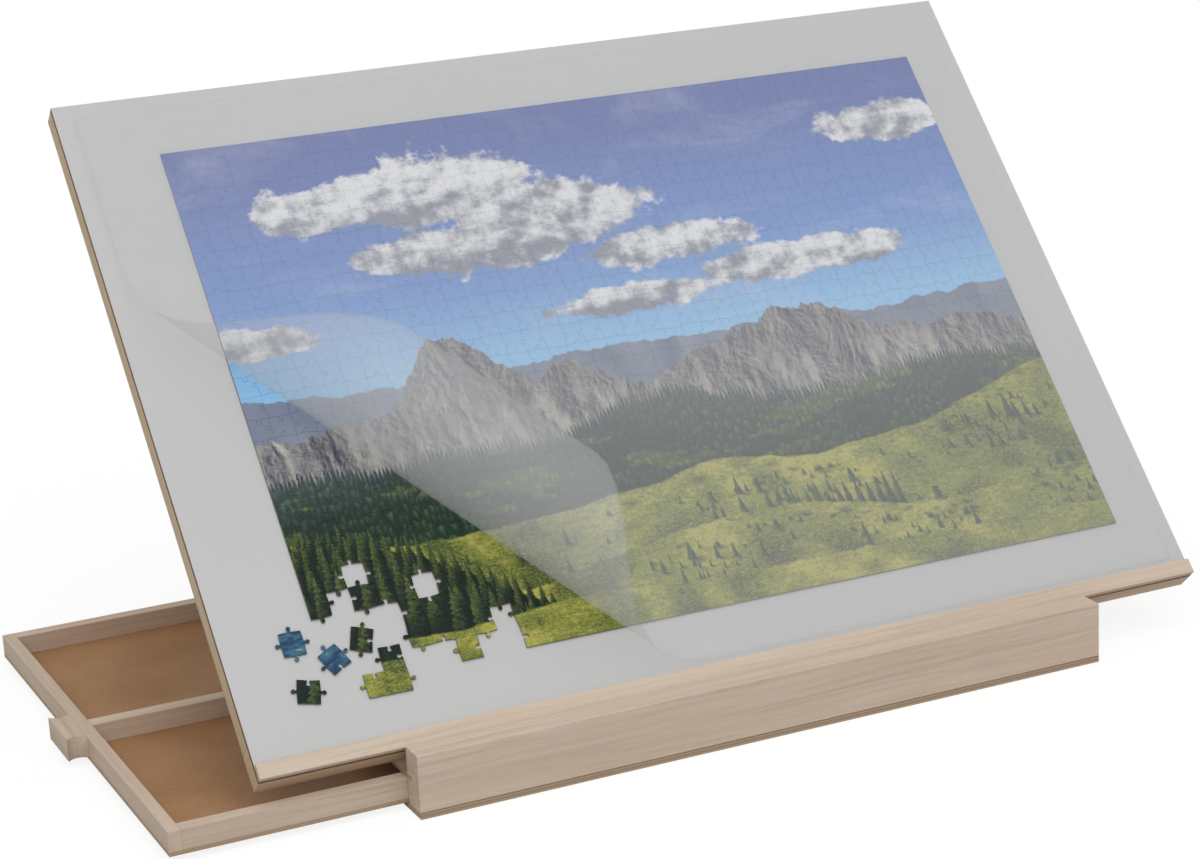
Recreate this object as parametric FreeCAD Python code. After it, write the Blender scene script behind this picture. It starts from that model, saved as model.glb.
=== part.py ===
import FreeCAD, Part
import math
import os
from FreeCAD import Placement, Rotation, Vector

# Tilting jigsaw board on a low wooden base with a drawer at each end.
# X runs along the base, Y from its front rail to its back rail, Z up.
# The origin is the middle of the base's underside. Sizes are millimetres.

# ---- driving dimensions ----
base_length = 582.0
base_depth = 510.0
bottom_thick = 5.0
rail_thick = 22.0
front_rail_top = 49.2
deck_thick = 3.0
deck_top = 28.0
groove_depth = 8.0
bearer_width = 12.0
edge_round = 0.8

board_length = 801.0
board_slant = 580.0
board_tilt = 47.3
panel_thick = 4.0
batten_height = 15.5
batten_width = 28.0
lip_width = 12.5
lip_height = 5.0
cross_batten_width = 24.0

drawer_length = 280.0
drawer_side_gap = 1.2
drawer_top = 24.5
drawer_floor_thick = 3.0
drawer_lift = 0.3
end_wall_thick = 10.0
side_wall_thick = 12.0
divider_thick = 13.0
left_drawer_out = 180.5
grip_width = 54.0
grip_reach = 15.5
grip_scoop = 4.5
grip_lift = 1.5

hinge_setback = 15.0
hinge_pin_gap = 3.1
hinge_spacing = 470.0
hinge_length = 60.0
leaf_width = 13.5
leaf_thick = 1.5
hinge_pin_radius = 1.5
knuckle_radius = 3.0
knuckle_count = 3
knuckle_gap = 0.15
running_gap = 0.05

prop_reach = 214.0
prop_offset = 7.5
arm_spacing = 366.0
arm_width = 12.0
arm_height = 10.0
rod_radius = 2.5
pivot_block_half = 13.0
pivot_cheek = 12.0
strip_width = 12.0
strip_height = 14.0
slot_height = 7.0
nut_radius = 5.6
nut_length = 9.0
nut_ribs = 16
rod_end = 3.5

# Screws are modelled with a few flats round them, heads flush with the surface.
screw_flats = 8
base_screw = (1.6, 3.5, 2.2)  # shank radius, head radius, head height
leaf_screw = (1.2, 2.6, 1.3)
base_screw_places = (-250.0, -85.0, 85.0, 250.0)
leaf_screw_offsets = (-21.0, 0.0, 21.0)

puzzle_width = 680.0
puzzle_height = 467.0
puzzle_thick = 2.0
puzzle_left = 73.3
puzzle_low = 44.5
columns = 40
rows = 25

film_thick = 0.6
film_curl_radius = 48.5
film_side = 13.9
film_low = 3.6
film_high = 14.0

# ---- values that follow from them ----
half_length = base_length / 2
front = -base_depth / 2
back = base_depth / 2
deck_low = deck_top - deck_thick
rail_inner_front = front + rail_thick
rail_inner_back = back - rail_thick
frame_top = batten_height + panel_thick
hinge_y = rail_inner_front + hinge_setback
hinge_z = deck_top + hinge_pin_gap
cell_width = puzzle_width / columns
cell_height = puzzle_height / rows

nodes = {}


def box(x0, x1, y0, y1, z0, z1):
    return Part.makeBox(x1 - x0, y1 - y0, z1 - z0, Vector(x0, y0, z0))


def soften(shape, radius, direction):
    """Rounds the long edges that run along a direction."""
    picked = []
    for edge in shape.Edges:
        along = edge.Vertexes[-1].Point - edge.Vertexes[0].Point
        if along.Length > 4 * radius and abs(along.normalize().dot(direction)) > 0.999:
            picked.append(edge)
    return shape.makeFillet(radius, picked)


def cylinder(radius, start, end):
    along = end - start
    return Part.makeCylinder(radius, along.Length, start, along)


def prism(points, height):
    wire = Part.makePolygon(points + [points[0]])
    return Part.Face(wire).extrude(Vector(0, 0, height))


def ring_of_points(centre, axis, radius, count):
    """Points evenly round an axis, as a closed outline."""
    turn = Rotation(Vector(0, 0, 1), axis)
    points = []
    for k in range(count):
        angle = 2 * math.pi * (k + 0.5) / count
        points.append(centre + turn.multVec(Vector(radius * math.cos(angle), radius * math.sin(angle), 0)))
    return Part.makePolygon(points + [points[0]])


def tilted(shape):
    """Takes a shape from the board's own axes to its place on the base.

    In the board's axes X is along the board, Y runs up the slope from the lower
    edge and Z stands off the underside.
    """
    moved = shape.copy()
    moved.translate(Vector(0, hinge_pin_gap, -hinge_pin_gap))
    moved.Placement = Placement(
        Vector(0, hinge_y, hinge_z), Rotation(Vector(1, 0, 0), board_tilt)
    ).multiply(moved.Placement)
    return moved


def screw_body(head, tip, sizes):
    """A countersunk head and its shank, from the centre of the flat head to the tip."""
    radius, head_radius, head_height = sizes
    axis = (tip - head).normalize()
    outlines = [
        ring_of_points(head, axis, head_radius, screw_flats),
        ring_of_points(head + axis * head_height, axis, radius, screw_flats),
        ring_of_points(tip, axis, radius, screw_flats),
    ]
    return Part.makeLoft(outlines, True, True)


def screw(head, tip, sizes):
    head_radius = sizes[1]
    slot_cut = box(-head_radius, head_radius, -0.4, 0.4, -0.1, 0.7)
    slot_cut.Placement = Placement(head, Rotation(Vector(0, 0, 1), tip - head))
    return screw_body(head, tip, sizes).cut(slot_cut)


def place_screws(group, places, sizes, hosts):
    """Adds screws as one node and drills the pieces that they go through."""
    nodes[group] = Part.makeCompound([screw(head, tip, sizes) for head, tip in places])
    drill = Part.makeCompound([screw_body(head, tip, sizes) for head, tip in places])
    for name in hosts:
        nodes[name] = nodes[name].cut(drill)


# ---- base ----
def make_base():
    x0, x1 = -half_length, half_length
    nodes["bottom_panel"] = box(x0, x1, front, back, 0, bottom_thick)

    rail = box(x0, x1, front, rail_inner_front, bottom_thick, front_rail_top)
    rail = soften(rail, edge_round, Vector(1, 0, 0))
    groove = box(x0, x1, rail_inner_front - groove_depth, rail_inner_front, deck_low, deck_top)
    nodes["front_rail"] = rail.cut(groove)

    low_rail = box(x0, x1, rail_inner_back, back, bottom_thick, deck_top)
    rabbet = box(x0, x1, rail_inner_back, rail_inner_back + groove_depth, deck_low, deck_top)
    nodes["back_rail"] = low_rail.cut(rabbet)

    nodes["centre_bearer"] = box(
        -bearer_width / 2, bearer_width / 2, rail_inner_front, rail_inner_back, bottom_thick, deck_low
    )
    nodes["deck_panel"] = box(
        x0, x1, rail_inner_front - groove_depth, rail_inner_back + groove_depth, deck_low, deck_top
    )
    places = []
    for y in (front + rail_thick / 2, back - rail_thick / 2):
        for x in base_screw_places:
            places.append((Vector(x, y, 0), Vector(x, y, 18)))
    place_screws("base_screws", places, base_screw, ["bottom_panel", "front_rail", "back_rail"])


# ---- prop: two arms, a rod that rides in slotted strips, and clamping nuts ----
arm_x = arm_spacing / 2
strip_inner = arm_x + arm_width / 2 + 1.0
strip_outer = strip_inner + strip_width
tilt = math.radians(board_tilt)
prop_rise = prop_offset - hinge_pin_gap
foot_y = hinge_y + 2 * prop_reach * math.cos(tilt) - prop_rise * math.sin(tilt)
foot_z = hinge_z + prop_rise * math.cos(tilt)
flat_foot_y = hinge_y + 2 * prop_reach
slot_z = hinge_z + prop_rise * (1 + math.cos(tilt)) / 2
pivot = Vector(
    0,
    hinge_y + prop_reach * math.cos(tilt) - prop_rise * math.sin(tilt),
    hinge_z + prop_reach * math.sin(tilt) + prop_rise * math.cos(tilt),
)


def slotted_outline(x, y0, y1, z, half_height):
    """A closed slot outline with round ends, in a plane across X."""
    top0, top1 = Vector(x, y0, z + half_height), Vector(x, y1, z + half_height)
    low0, low1 = Vector(x, y0, z - half_height), Vector(x, y1, z - half_height)
    edges = [
        Part.LineSegment(top0, top1).toShape(),
        Part.Arc(top1, Vector(x, y1 + half_height, z), low1).toShape(),
        Part.LineSegment(low1, low0).toShape(),
        Part.Arc(low0, Vector(x, y0 - half_height, z), top0).toShape(),
    ]
    return Part.Face(Part.Wire(edges))


def make_guide_strips():
    for side, name in ((-1, "left_guide_strip"), (1, "right_guide_strip")):
        x0, x1 = sorted((side * strip_inner, side * strip_outer))
        strip = box(x0, x1, foot_y - 16, flat_foot_y + 14, deck_top, deck_top + strip_height)
        strip = soften(strip, edge_round, Vector(0, 1, 0))
        slot = slotted_outline(x0, foot_y, flat_foot_y, slot_z, slot_height / 2)
        nodes[name] = strip.cut(slot.extrude(Vector(x1 - x0, 0, 0)))


def make_prop():
    length = prop_reach
    for side, name in ((-1, "left_arm"), (1, "right_arm")):
        x0 = side * arm_x - arm_width / 2
        arm = slotted_outline(x0, 0, length, 0, arm_height / 2).extrude(Vector(arm_width, 0, 0))
        for y, radius in ((0, rod_radius + running_gap), (length, rod_radius)):
            arm = arm.cut(cylinder(radius, Vector(x0 - 1, y, 0), Vector(x0 + arm_width + 1, y, 0)))
        arm.Placement = Placement(pivot, Rotation(Vector(1, 0, 0), -board_tilt))
        nodes[name] = arm
    reach = strip_outer + nut_length + rod_end
    rod = cylinder(rod_radius, Vector(-reach, foot_y, foot_z), Vector(reach, foot_y, foot_z))
    nodes["foot_rod"] = rod
    for side, name in ((-1, "left_thumb_nut"), (1, "right_thumb_nut")):
        start = side * (strip_outer + 0.6)
        nodes[name] = thumb_nut(Vector(start, foot_y, foot_z), side)


def thumb_nut(face_centre, side):
    """A ribbed nut whose clamping face stands across X; side tells which way it grows."""
    collar = cylinder(nut_radius - 1.2, face_centre, face_centre + Vector(side * 2, 0, 0))
    rim = []
    for k in range(2 * nut_ribs):
        angle = math.pi * k / nut_ribs
        radius = nut_radius - (0.7 if k % 2 else 0)
        rim.append(face_centre + Vector(side * 2, radius * math.cos(angle), radius * math.sin(angle)))
    grip = Part.Face(Part.makePolygon(rim + [rim[0]])).extrude(Vector(side * (nut_length - 2), 0, 0))
    bore = cylinder(
        rod_radius + running_gap,
        face_centre - Vector(side, 0, 0),
        face_centre + Vector(side * (nut_length + 1), 0, 0),
    )
    return collar.fuse(grip).cut(bore)


# ---- hinges: one leaf lies on the deck, the other on the board's lower edge ----
def knuckle_spans(x_middle, moving):
    width = hinge_length / knuckle_count
    first = x_middle - hinge_length / 2
    spans = []
    for k in range(knuckle_count):
        if (k % 2 == 1) == moving:
            spans.append((first + k * width + knuckle_gap, first + (k + 1) * width - knuckle_gap))
    return spans


def hinge_leaf(x_middle, moving):
    """One leaf with its knuckles. The pin's axis is Y = Z = 0 and the leaf runs to -Y.

    The fixed leaf lies under the axis, on the deck. The moving leaf lies on the far
    side of the axis, so that it meets the board's lower edge when it is turned up.
    """
    x0, x1 = x_middle - hinge_length / 2, x_middle + hinge_length / 2
    low = hinge_pin_gap - leaf_thick if moving else -hinge_pin_gap
    leaf = box(x0, x1, -leaf_width, -knuckle_radius - 0.4, low, low + leaf_thick)
    for start, end in knuckle_spans(x_middle, moving):
        barrel = cylinder(knuckle_radius, Vector(start, 0, 0), Vector(end, 0, 0))
        tongue = box(start, end, -knuckle_radius - 0.5, 0, low, low + leaf_thick)
        leaf = leaf.fuse(tongue).fuse(barrel)
    bore = hinge_pin_radius + running_gap
    return leaf.cut(cylinder(bore, Vector(x0 - 1, 0, 0), Vector(x1 + 1, 0, 0))).removeSplitter()


def make_hinges():
    deck_leaves, board_leaves, pins = [], [], []
    for x in (-hinge_spacing / 2, hinge_spacing / 2):
        fixed = hinge_leaf(x, False)
        fixed.Placement = Placement(Vector(0, hinge_y, hinge_z), Rotation())
        deck_leaves.append(fixed)
        # The moving leaf stands against the board's lower edge face.
        moving = hinge_leaf(x, True)
        moving.Placement = Placement(
            Vector(0, hinge_y, hinge_z), Rotation(Vector(1, 0, 0), board_tilt - 90)
        )
        board_leaves.append(moving)
        ends = [Vector(x + s * (hinge_length / 2 + 1), hinge_y, hinge_z) for s in (-1, 1)]
        pins.append(cylinder(hinge_pin_radius, ends[0], ends[1]))
    nodes["hinge_deck_leaves"] = Part.makeCompound(deck_leaves)
    nodes["hinge_board_leaves"] = Part.makeCompound(board_leaves)
    nodes["hinge_pins"] = Part.makeCompound(pins)


# ---- board ----
def make_board():
    x0, x1 = -board_length / 2, board_length / 2
    panel = box(x0, x1, 0, board_slant, batten_height, frame_top)
    nodes["board_panel"] = tilted(panel)
    lip = box(x0, x1, 0, lip_width, frame_top, frame_top + lip_height)
    nodes["lip_rail"] = tilted(soften(lip, edge_round, Vector(1, 0, 0)))

    w, h = batten_width, batten_height
    cross_low = rail_inner_back - hinge_y - 2.0
    cross_high = cross_low + cross_batten_width
    inner0, inner1 = x0 + w, x1 - w
    battens = {
        "front_batten": (x0, x1, 0, w),
        "back_batten": (x0, x1, board_slant - w, board_slant),
        "left_batten": (x0, inner0, w, board_slant - w),
        "right_batten": (inner1, x1, w, board_slant - w),
        "cross_batten": (inner0, inner1, cross_low, cross_high),
    }
    for name, (xa, xb, ya, yb) in battens.items():
        nodes[name] = tilted(box(xa, xb, ya, yb, 0, h))

    blocks, pins = [], []
    y = prop_reach - hinge_pin_gap
    z = prop_offset
    for side in (-1, 1):
        middle = side * arm_x
        for cheek in (-1, 1):
            inner = middle + cheek * (arm_width / 2 + 0.5)
            outer = inner + cheek * pivot_cheek
            xa, xb = sorted((inner, outer))
            block = box(xa, xb, y - pivot_block_half, y + pivot_block_half, 1.0, batten_height)
            block = block.cut(cylinder(rod_radius, Vector(xa - 1, y, z), Vector(xb + 1, y, z)))
            blocks.append(tilted(block))
        reach = arm_width / 2 + pivot_cheek + 2
        pins.append(tilted(cylinder(rod_radius, Vector(middle - reach, y, z), Vector(middle + reach, y, z))))
    nodes["pivot_blocks"] = Part.makeCompound(blocks)
    nodes["pivot_pins"] = Part.makeCompound(pins)


def on_board(x, y, z):
    """A point in the board's own axes, as a point of the base's."""
    return tilted(Part.Vertex(x, y, z)).Point


def make_hinge_screws():
    deck_places, board_places = [], []
    leaf_middle = (leaf_width + knuckle_radius) / 2 + 0.5
    for middle in (-hinge_spacing / 2, hinge_spacing / 2):
        for offset in leaf_screw_offsets:
            x = middle + offset
            top = deck_top + leaf_thick
            y = hinge_y - leaf_middle
            deck_places.append((Vector(x, y, top), Vector(x, y, deck_low)))
            high = hinge_pin_gap + leaf_middle
            board_places.append((on_board(x, -leaf_thick, high), on_board(x, 12.0, high)))
    for side in (-1, 1):
        x = side * (strip_inner + strip_outer) / 2
        for y in (foot_y - 10, flat_foot_y + 8.5):
            deck_places.append((Vector(x, y, deck_top + strip_height), Vector(x, y, deck_low)))
    drilled = ["deck_panel", "hinge_deck_leaves", "left_guide_strip", "right_guide_strip"]
    place_screws("deck_screws", deck_places, leaf_screw, drilled)
    place_screws("board_screws", board_places, leaf_screw, ["front_batten", "hinge_board_leaves"])


# ---- drawers ----
def grip_block():
    """The finger grip, on the plane X = 0 and reaching to -X, with scooped flanks."""
    half = grip_width / 2
    scoop = grip_scoop
    low, high = bottom_thick + drawer_lift + grip_lift, drawer_top
    p0, p1 = Vector(0, -half, low), Vector(-grip_reach, -half, low)
    p2, p3 = Vector(-grip_reach, half, low), Vector(0, half, low)
    wire = Part.Wire([
        Part.Arc(p0, Vector(-grip_reach * 0.45, -half + scoop, low), p1).toShape(),
        Part.LineSegment(p1, p2).toShape(),
        Part.Arc(p2, Vector(-grip_reach * 0.45, half - scoop, low), p3).toShape(),
        Part.LineSegment(p3, p0).toShape(),
    ])
    return Part.Face(wire).extrude(Vector(0, 0, high - low))


def make_drawer(side, name, pulled):
    """A drawer whose grip faces -X; side 1 turns it round to face +X."""
    depth = rail_inner_back - rail_inner_front - 2 * drawer_side_gap
    y0, y1 = -depth / 2, depth / 2
    x0 = -half_length + 0.5 - pulled
    x1 = x0 + drawer_length
    z0 = bottom_thick + drawer_lift
    z1 = z0 + drawer_floor_thick
    top = drawer_top
    e, s, d = end_wall_thick, side_wall_thick, divider_thick
    grip = grip_block()
    grip.translate(Vector(x0, 0, 0))
    pieces = {
        "bottom": box(x0, x1, y0, y1, z0, z1),
        "end_wall": box(x0, x0 + e, y0, y1, z1, top),
        "inner_wall": box(x1 - e, x1, y0, y1, z1, top),
        "front_side": box(x0 + e, x1 - e, y0, y0 + s, z1, top),
        "back_side": box(x0 + e, x1 - e, y1 - s, y1, z1, top),
        "divider": box(x0 + e, x1 - e, -d / 2, d / 2, z1, top),
        "grip": grip,
    }
    for piece, shape in pieces.items():
        if side > 0:
            shape.rotate(Vector(0, 0, 0), Vector(0, 0, 1), 180)
            piece = {"front_side": "back_side", "back_side": "front_side"}.get(piece, piece)
        nodes[name + "_" + piece] = shape


# ---- puzzle ----
# Cells (column, row from the top) that are still open, at the lower left. For each side
# that meets a laid piece, 1 means that the open cell bulges into that piece, and -1 that
# the piece's knob stands into the cell.
open_cells = {
    (2, 20): {"left": 1, "right": 1, "high": 1, "low": -1},
    (1, 21): {"left": -1, "right": 1, "high": -1},
    (5, 21): {"left": 1, "right": 1, "high": 1, "low": 1},
    (0, 22): {"high": -1},
    (2, 22): {"high": -1},
    (3, 22): {"high": 1, "right": 1},
    (3, 23): {"right": -1},
    (4, 24): {"high": -1},
    (5, 24): {"high": 1, "right": -1},
    (7, 24): {"left": 1, "high": -1},
    (8, 23): {"left": 1, "right": -1, "high": -1},
    (8, 24): {"right": 1},
}
for column, row in [(1, 22), (0, 23), (1, 23), (2, 23), (0, 24), (1, 24), (2, 24), (3, 24)]:
    open_cells[column, row] = {}
knob_radius = 0.17 * cell_width
knob_reach = 0.13 * cell_width
knob_flats = 12
lone_hole_inset = 0.3  # a hole on its own keeps clear of the next hole's corner

# Loose pieces: middle (x, distance up the board), turn, and cells with their knobs.
loose_groups = [
    (-346.4, 97.1, -1, {(0, 0): {"left": 1, "right": 1, "high": 1, "low": 1}}),
    (-319.5, 78.8, 27, {(0, 0): {"left": 1, "right": 1, "high": 1, "low": -1}}),
    (-345.7, 58.2, -14, {(0, 0): {"left": 1, "right": 1, "high": -1}}),
    (-295.0, 89.8, -20, {(0, 0): {"right": -1, "high": 1, "low": 1}}),
    (-277.1, 71.3, -1, {
        (0, 0): {"left": 1, "right": -1, "high": -1},
        (0, -1): {"right": 1},
        (-1, -1): {"left": 1, "high": -1},
    }),
]


def knob(x, y, across, sign):
    """A round knob on the middle of a side; across is the side's normal axis."""
    shift = sign * knob_reach
    centre = Vector(x + shift, y, 0) if across == "x" else Vector(x, y + shift, 0)
    outline = ring_of_points(centre, Vector(0, 0, 1), knob_radius, knob_flats)
    return Part.Face(outline).extrude(Vector(0, 0, puzzle_thick))


def cell_shape(knobs, inset=0.0):
    """One piece with its middle at the origin. knobs gives +1 out or -1 in per side."""
    w, h = cell_width / 2 - inset, cell_height / 2 - inset
    piece = box(-w, w, -h, h, 0, puzzle_thick)
    sides = {
        "left": (-w, 0, "x", -1),
        "right": (w, 0, "x", 1),
        "low": (0, -h, "y", -1),
        "high": (0, h, "y", 1),
    }
    for side, sign in knobs.items():
        x, y, across, outward = sides[side]
        if sign > 0:
            piece = piece.fuse(knob(x, y, across, outward))
        else:
            piece = piece.cut(knob(x, y, across, -outward))
    return piece


def make_puzzle():
    x_left = -board_length / 2 + puzzle_left
    y_low = lip_width + puzzle_low
    block = box(x_left, x_left + puzzle_width, y_low, y_low + puzzle_height, 0, puzzle_thick)
    for (column, row), knobs in open_cells.items():
        near = [(column + 1, row), (column - 1, row), (column, row + 1), (column, row - 1)]
        alone = not any(cell in open_cells for cell in near)
        gap = cell_shape(knobs, lone_hole_inset if alone else 0.0)
        x = x_left + (column + 0.5) * cell_width
        y = y_low + (rows - row - 0.5) * cell_height
        gap.translate(Vector(x, y, 0))
        block = block.cut(gap)
    block.translate(Vector(0, 0, frame_top))
    nodes["puzzle_block"] = tilted(block.removeSplitter())

    groups = []
    for x, y, turn, cells in loose_groups:
        group = None
        for (column, row), knobs in cells.items():
            piece = cell_shape(knobs)
            piece.translate(Vector(column * cell_width, row * cell_height, 0))
            group = piece if group is None else group.fuse(piece)
        group.rotate(Vector(0, 0, 0), Vector(0, 0, 1), turn)
        group.translate(Vector(x, y, frame_top))
        groups.append(tilted(group.removeSplitter()))
    nodes["loose_pieces"] = Part.makeCompound(groups)


# ---- cover film: lies on the puzzle, with its lower left corner curled back ----
film_x0 = -board_length / 2 + film_side
film_x1 = board_length / 2 - film_side
film_y0 = lip_width + film_low
film_y1 = board_slant - film_high
curl_top_y = 446.5
curl_low_x = -23.5
curl_steps = 22
curl_tightening = 0.8
curl_share = 0.985  # how much of the corner is wound up; its very tip is blunt


def make_film():
    base_z = frame_top + puzzle_thick + 0.3
    high = Vector(film_x0, curl_top_y, 0)
    low = Vector(curl_low_x, film_y0, 0)
    flat = prism(
        [Vector(high.x, high.y, base_z), Vector(low.x, low.y, base_z),
         Vector(film_x1, film_y0, base_z), Vector(film_x1, film_y1, base_z),
         Vector(film_x0, film_y1, base_z)],
        film_thick,
    )
    # The curl is wound about a line along the fold. Each section is a straight
    # strip across the free corner, as long as the corner is wide there.
    along = low - high
    fold = along.Length
    along.normalize()
    outward = Vector(along.y, -along.x, 0)
    if outward.x > 0:
        outward = outward * -1
    corner = Vector(film_x0, film_y0, 0)
    reach = (corner - high).dot(outward)
    corner_at = (corner - high).dot(along)
    sections = []
    for k in range(curl_steps + 1):
        t = reach * curl_share * k / curl_steps
        start = corner_at * t / reach
        end = fold + (corner_at - fold) * t / reach
        radius = film_curl_radius - curl_tightening * t / reach
        inner = radius - film_thick
        angle = t / film_curl_radius
        wire = []
        for a, r in ((start, radius), (end, radius), (end, inner), (start, inner)):
            point = high + along * a + outward * (r * math.sin(angle))
            point.z = base_z + film_curl_radius - r * math.cos(angle)
            wire.append(point)
        sections.append(Part.makePolygon(wire + [wire[0]]))
    curl = Part.makeLoft(sections, True, True)
    nodes["cover_film"] = tilted(flat.fuse(curl))


make_base()
make_guide_strips()
make_prop()
make_hinges()
make_board()
make_hinge_screws()
make_drawer(-1, "left", left_drawer_out)
make_drawer(1, "right", 0.0)
make_puzzle()
make_film()

os.makedirs("parts", exist_ok=True)
for name, shape in nodes.items():
    shape.exportStep("parts/" + name + ".step")
    print(name, "valid" if shape.isValid() else "NOT VALID", len(shape.Solids), round(shape.Volume, 1))
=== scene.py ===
import math
import random

import bpy
from mathutils import Matrix, Vector


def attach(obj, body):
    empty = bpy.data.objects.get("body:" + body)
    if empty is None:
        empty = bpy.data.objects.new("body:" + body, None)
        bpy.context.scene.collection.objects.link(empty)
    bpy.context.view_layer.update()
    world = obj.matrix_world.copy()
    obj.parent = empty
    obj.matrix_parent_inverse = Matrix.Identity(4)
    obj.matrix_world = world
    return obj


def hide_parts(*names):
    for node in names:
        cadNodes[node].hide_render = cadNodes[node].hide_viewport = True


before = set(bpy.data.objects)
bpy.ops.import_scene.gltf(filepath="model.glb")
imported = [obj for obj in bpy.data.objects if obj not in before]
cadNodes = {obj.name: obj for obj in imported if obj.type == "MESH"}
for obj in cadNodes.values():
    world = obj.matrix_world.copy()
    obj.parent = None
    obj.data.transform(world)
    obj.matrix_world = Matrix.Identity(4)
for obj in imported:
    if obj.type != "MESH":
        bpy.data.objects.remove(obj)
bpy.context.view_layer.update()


# Small helpers.

def paint(red, green, blue):
    # an eight-bit display colour as the linear colour that nodes take
    linear = []
    for part in (red, green, blue):
        share = part / 255
        linear.append(share / 12.92 if share < 0.04045 else ((share + 0.055) / 1.055) ** 2.4)
    return (*linear, 1.0)


def feed(tree, socket, value):
    if isinstance(value, bpy.types.NodeSocket):
        tree.links.new(value, socket)
    else:
        socket.default_value = value


def put(tree, kind, inputs=None, **settings):
    made = tree.nodes.new(kind)
    for key, value in settings.items():
        setattr(made, key, value)
    for key, value in (inputs or {}).items():
        feed(tree, made.inputs[key], value)
    return made


def calc(tree, operation, first, second=0.0, third=0.0, clamp=False):
    made = put(tree, "ShaderNodeMath", {0: first, 1: second, 2: third}, operation=operation)
    made.use_clamp = clamp
    return made.outputs[0]


def smooth(tree, value, start, end, low=0.0, high=1.0):
    made = put(tree, "ShaderNodeMapRange", {"Value": value, "From Min": start, "From Max": end,
                                            "To Min": low, "To Max": high})
    made.interpolation_type = "SMOOTHSTEP"
    return made.outputs["Result"]


def blendColour(tree, share, low, high, way="MIX"):
    made = put(tree, "ShaderNodeMix", {0: share, 6: low, 7: high}, data_type="RGBA", blend_type=way)
    return made.outputs[2]


def noise(tree, place, scale, detail=3.0, roughness=0.5, distortion=0.0, kind="FBM"):
    made = put(tree, "ShaderNodeTexNoise", {"Vector": place, "Scale": scale, "Detail": detail,
                                            "Roughness": roughness, "Distortion": distortion})
    made.noise_type = kind
    return made.outputs["Fac"]


def stretch(tree, place, scale, shift=(0.0, 0.0, 0.0), turn=(0.0, 0.0, 0.0)):
    return put(tree, "ShaderNodeMapping", {"Vector": place, "Location": shift, "Rotation": turn,
                                           "Scale": scale}).outputs[0]


def newMaterial(name):
    material = bpy.data.materials.new(name)
    material.use_nodes = True
    tree = material.node_tree
    return material, tree, tree.nodes["Principled BSDF"]


def ownPlace(tree):
    return put(tree, "ShaderNodeTexCoord").outputs["Object"]


def ownNormal(tree):
    return put(tree, "ShaderNodeTexCoord").outputs["Normal"]


def levelShare(tree):
    # 1 on faces that look straight up or down, 0 on upright ones
    parts = put(tree, "ShaderNodeSeparateXYZ", {0: ownNormal(tree)})
    return calc(tree, "ABSOLUTE", parts.outputs["Z"])


def roughen(tree, shader, height, strength, distance):
    bump = put(tree, "ShaderNodeBump", {"Height": height, "Strength": strength, "Distance": distance})
    feed(tree, shader.inputs["Normal"], bump.outputs[0])


def newObject(name, data):
    made = bpy.data.objects.new(name, data)
    bpy.context.scene.collection.objects.link(made)
    return made


def newTree(name, sockets):
    # a node tree with these inputs and one geometry output
    tree = bpy.data.node_groups.new(name, "GeometryNodeTree")
    for label, kind in sockets:
        tree.interface.new_socket(label, in_out="INPUT", socket_type="NodeSocket" + kind)
    tree.interface.new_socket("Geometry", in_out="OUTPUT", socket_type="NodeSocketGeometry")
    return tree, put(tree, "NodeGroupInput").outputs


def endTree(tree, geometry):
    tree.links.new(geometry, put(tree, "NodeGroupOutput").inputs[0])
    return tree


def namedValue(tree, name, kind="FLOAT_VECTOR"):
    return put(tree, "GeometryNodeInputNamedAttribute", {"Name": name}, data_type=kind).outputs[0]


def joined(tree, parts):
    whole = put(tree, "GeometryNodeJoinGeometry")
    for part in parts:
        tree.links.new(part, whole.inputs[0])
    return whole.outputs[0]


def realPainted(tree, geometry, material):
    # real meshes in one material, as the last step of a tree
    real = put(tree, "GeometryNodeRealizeInstances", {"Geometry": geometry})
    return put(tree, "GeometryNodeSetMaterial", {"Geometry": real.outputs[0], "Material": material}).outputs[0]


def applyTree(piece, tree, values):
    # runs a node tree on a piece and leaves the result as its plain mesh
    modifier = piece.modifiers.new("nodes", "NODES")
    modifier.node_group = tree
    for item in tree.interface.items_tree:
        if item.item_type == "SOCKET" and item.in_out == "INPUT" and item.name in values:
            modifier[item.identifier] = values[item.name]
    bpy.context.view_layer.update()
    graph = bpy.context.evaluated_depsgraph_get()
    made = bpy.data.meshes.new_from_object(piece.evaluated_get(graph), depsgraph=graph)
    piece.modifiers.remove(modifier)
    old = piece.data
    made.name = piece.name
    piece.data = made
    bpy.data.meshes.remove(old)
    return piece


# The board's own axes.

# The hinge line, the gap from its pins to the board's lower corner, and the board's thickness.
board = {"tilt": math.radians(47.3), "hingeY": -0.218, "hingeZ": 0.0311, "pinGap": 0.0031, "face": 0.0195}


def onBoard(x, up, off):
    # x along the board, up the slope from its lower edge, off its underside
    cosine, sine = math.cos(board["tilt"]), math.sin(board["tilt"])
    along, out = up + board["pinGap"], off - board["pinGap"]
    return Vector((x, board["hingeY"] + along * cosine - out * sine,
                   board["hingeZ"] + along * sine + out * cosine))


def boardFacing(tree):
    # 1 on faces that look the way the board's upper face does
    out = (0, -math.sin(board["tilt"]), math.cos(board["tilt"]))
    return put(tree, "ShaderNodeVectorMath", {0: ownNormal(tree), 1: out},
               operation="DOT_PRODUCT").outputs["Value"]


# Wood.

# Grain sizes are noise scales along and across the grain.
wood = {
    "light": (211, 194, 177), "dark": (193, 174, 156), "deep": (160, 137, 116), "rosy": (206, 180, 160),
    "roughness": 0.62, "bump": 0.10, "shift": 0.37, "wave": 0.012,
    "broad": (2.6, 22.0), "lines": (4.6, 210.0), "fibre": (40.0, 900.0), "patch": (7.0, 14.0),
}


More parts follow.
